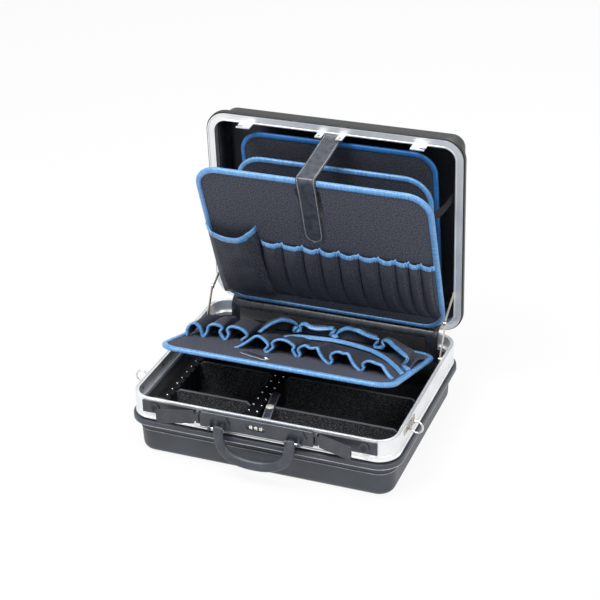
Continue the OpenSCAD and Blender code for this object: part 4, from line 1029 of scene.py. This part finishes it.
def make_wheel_digits():
    """Digits 0 to 9 round each number wheel, between its grooves."""
    for k in (1, 2, 3):
        low, high = box_mm(f"number_wheel_{k}")
        centre, radius = (low + high) / 2, (high.z - low.z) / 2
        bm = bmesh.new()
        for digit in range(10):
            text = bpy.data.curves.new("digit", "FONT")
            text.body = str(digit)
            text.size = 3.1
            text.align_x = text.align_y = "CENTER"
            text.extrude = 0.12
            mesh = bpy.data.meshes.new_from_object(bpy.data.objects.new("digit", text))
            glyph = bmesh.new()
            glyph.from_mesh(mesh)
            for height in (-0.7, -0.25, 0.25, 0.7):
                bmesh.ops.bisect_plane(glyph, geom=glyph.verts[:] + glyph.edges[:] + glyph.faces[:],
                                       plane_co=(0, height, 0), plane_no=(0, 1, 0))
            for v in glyph.verts:
                round_by, out = v.co.y / radius, radius - 0.04 + v.co.z
                v.co.y, v.co.z = out * math.sin(round_by), out * math.cos(round_by)
            turn = math.radians(90 + 36 * (digit + k))
            glyph.transform(Matrix.Translation(centre) @ Matrix.Rotation(turn, 4, "X"))
            glyph.to_mesh(mesh)
            glyph.free()
            bm.from_mesh(mesh)
            bpy.data.curves.remove(text)
            bpy.data.meshes.remove(mesh)
        piece(bm, f"wheel_digits_{k}", DIGIT_INK, f"wheel_{k}", smooth=False,
              keep_normals=True)


FINISHES = (
    (BASE_ABS, "base_shell"), (LID_ABS, "lid_shell"),
    (ALUMINIUM, "base_frame lid_frame lid_strikers"),
    (RAIL_PLASTIC, "divider_rails centre_beam"), (FOAM, "divider_front divider_middle"),
    (WHITE_PLASTIC, "snap_button number_wheel"), (BLACK_PLASTIC, "console handle_brackets"),
    (GREY_PLASTIC, "latch_plate latch_flap"), (LOCK_PLASTIC, "lock_cylinder"),
    (CHROME, "handle_pins carry_ring"), (BRASS, "frame_rivets"),
    (STEEL, "number_axle latch_pins latch_bolt ring_bracket base_hinge_leaves hinge_pins "
            "lid_hinge_leaves stay"),
)


def finish_nodes():
    """Gives each CAD node that stays in view its finish, by what its name starts with."""
    for name, node in frame["nodes"].items():
        for material, parts in FINISHES:
            if name.startswith(tuple(parts.split())):
                node.data.materials.clear()
                node.data.materials.append(material)


# ---------- the studio ----------

def make_floor():
    bm = bmesh.new()
    bmesh.ops.create_circle(bm, cap_ends=True, segments=64, radius=9000)
    bm.transform(Matrix.Scale(MM, 4))
    mesh = bpy.data.meshes.new("floor")
    bm.to_mesh(mesh)
    bm.free()
    floor = bpy.data.objects.new("floor", mesh)
    bpy.context.scene.collection.objects.link(floor)
    material, tree = new_material("pale_studio_floor")
    light = add(tree, "ShaderNodeLightPath")
    matt = add(tree, "ShaderNodeBsdfDiffuse", {"Color": "#e6e6e6"})
    glow = add(tree, "ShaderNodeEmission", {"Color": "#ffffff", "Strength": 1.0})
    seen = add(tree, "ShaderNodeMath",
               {0: light.outputs["Is Camera Ray"], 1: light.outputs["Is Glossy Ray"]},
               operation="MAXIMUM")
    share = add(tree, "ShaderNodeMath", {0: seen.outputs[0], 1: 0.9}, operation="MULTIPLY")
    both = add(tree, "ShaderNodeMixShader",
               {0: share.outputs[0], 1: matt.outputs[0], 2: glow.outputs[0]})
    add(tree, "ShaderNodeOutputMaterial", {"Surface": both.outputs[0]})
    mesh.materials.append(material)


def make_world():
    world = bpy.data.worlds.new("studio")
    world.use_nodes = True
    tree = world.node_tree
    tree.nodes.clear()
    light = add(tree, "ShaderNodeLightPath")
    way = add(tree, "ShaderNodeTexCoord").outputs["Generated"]
    aim_at = add(tree, "ShaderNodeSeparateXYZ", {0: way})
    sky = add(tree, "ShaderNodeValToRGB", {0: aim_at.outputs[2]},
              [(0.0, "#7d8084"), (0.2, "#8f9296"), (0.6, "#ffffff"), (1.0, "#ffffff")])
    ambient = add(tree, "ShaderNodeBackground", {"Color": sky.outputs[0], "Strength": 0.55})
    white = add(tree, "ShaderNodeBackground", {"Color": "#ffffff", "Strength": 1.0})
    glossy = add(tree, "ShaderNodeBackground", {"Color": "#f2f4f6", "Strength": 0.95})
    seen = add(tree, "ShaderNodeMixShader",
               {0: light.outputs["Is Glossy Ray"], 1: ambient.outputs[0], 2: glossy.outputs[0]})
    both = add(tree, "ShaderNodeMixShader",
               {0: light.outputs["Is Camera Ray"], 1: seen.outputs[0], 2: white.outputs[0]})
    add(tree, "ShaderNodeOutputWorld", {"Surface": both.outputs[0]})
    bpy.context.scene.world = world


bpy.context.scene.view_settings.view_transform = "Standard"
make_camera()
make_world()
make_floor()
area_light("key", -35, 62, 2.6, (1.5, 1.2), 62)
area_light("fill", 58, 34, 2.8, (1.2, 1.2), 22)
area_light("rim", 160, 50, 2.8, (1.6, 1.0), 26)

tool_panel("front", FRONT, FRONT_W, FRONT_H, 44, 4.4)
tool_panel("middle", MIDDLE @ INNER_SHIFT, INNER_W, MIDDLE_H, 50, 3.5, cloth=BACKING_CLOTH)
tool_panel("rear", REAR @ INNER_SHIFT, INNER_W, REAR_H, 42, 3.5, DEEP_BLUE_TAPE, BACKING_CLOTH)
tool_panel("base", BASE @ BASE_SHIFT, BASE_W, BASE_L, 36.5, 4.2, towards=-1)
make_pockets()
make_tab()
make_lid_strap()
make_hinge_cover()
make_hook_strips()
make_side_tie()
make_snap_strap()
make_flex_strips()
make_linings()
make_handle()
make_studs()
make_shell_beads()
make_wheel_digits()
finish_nodes()
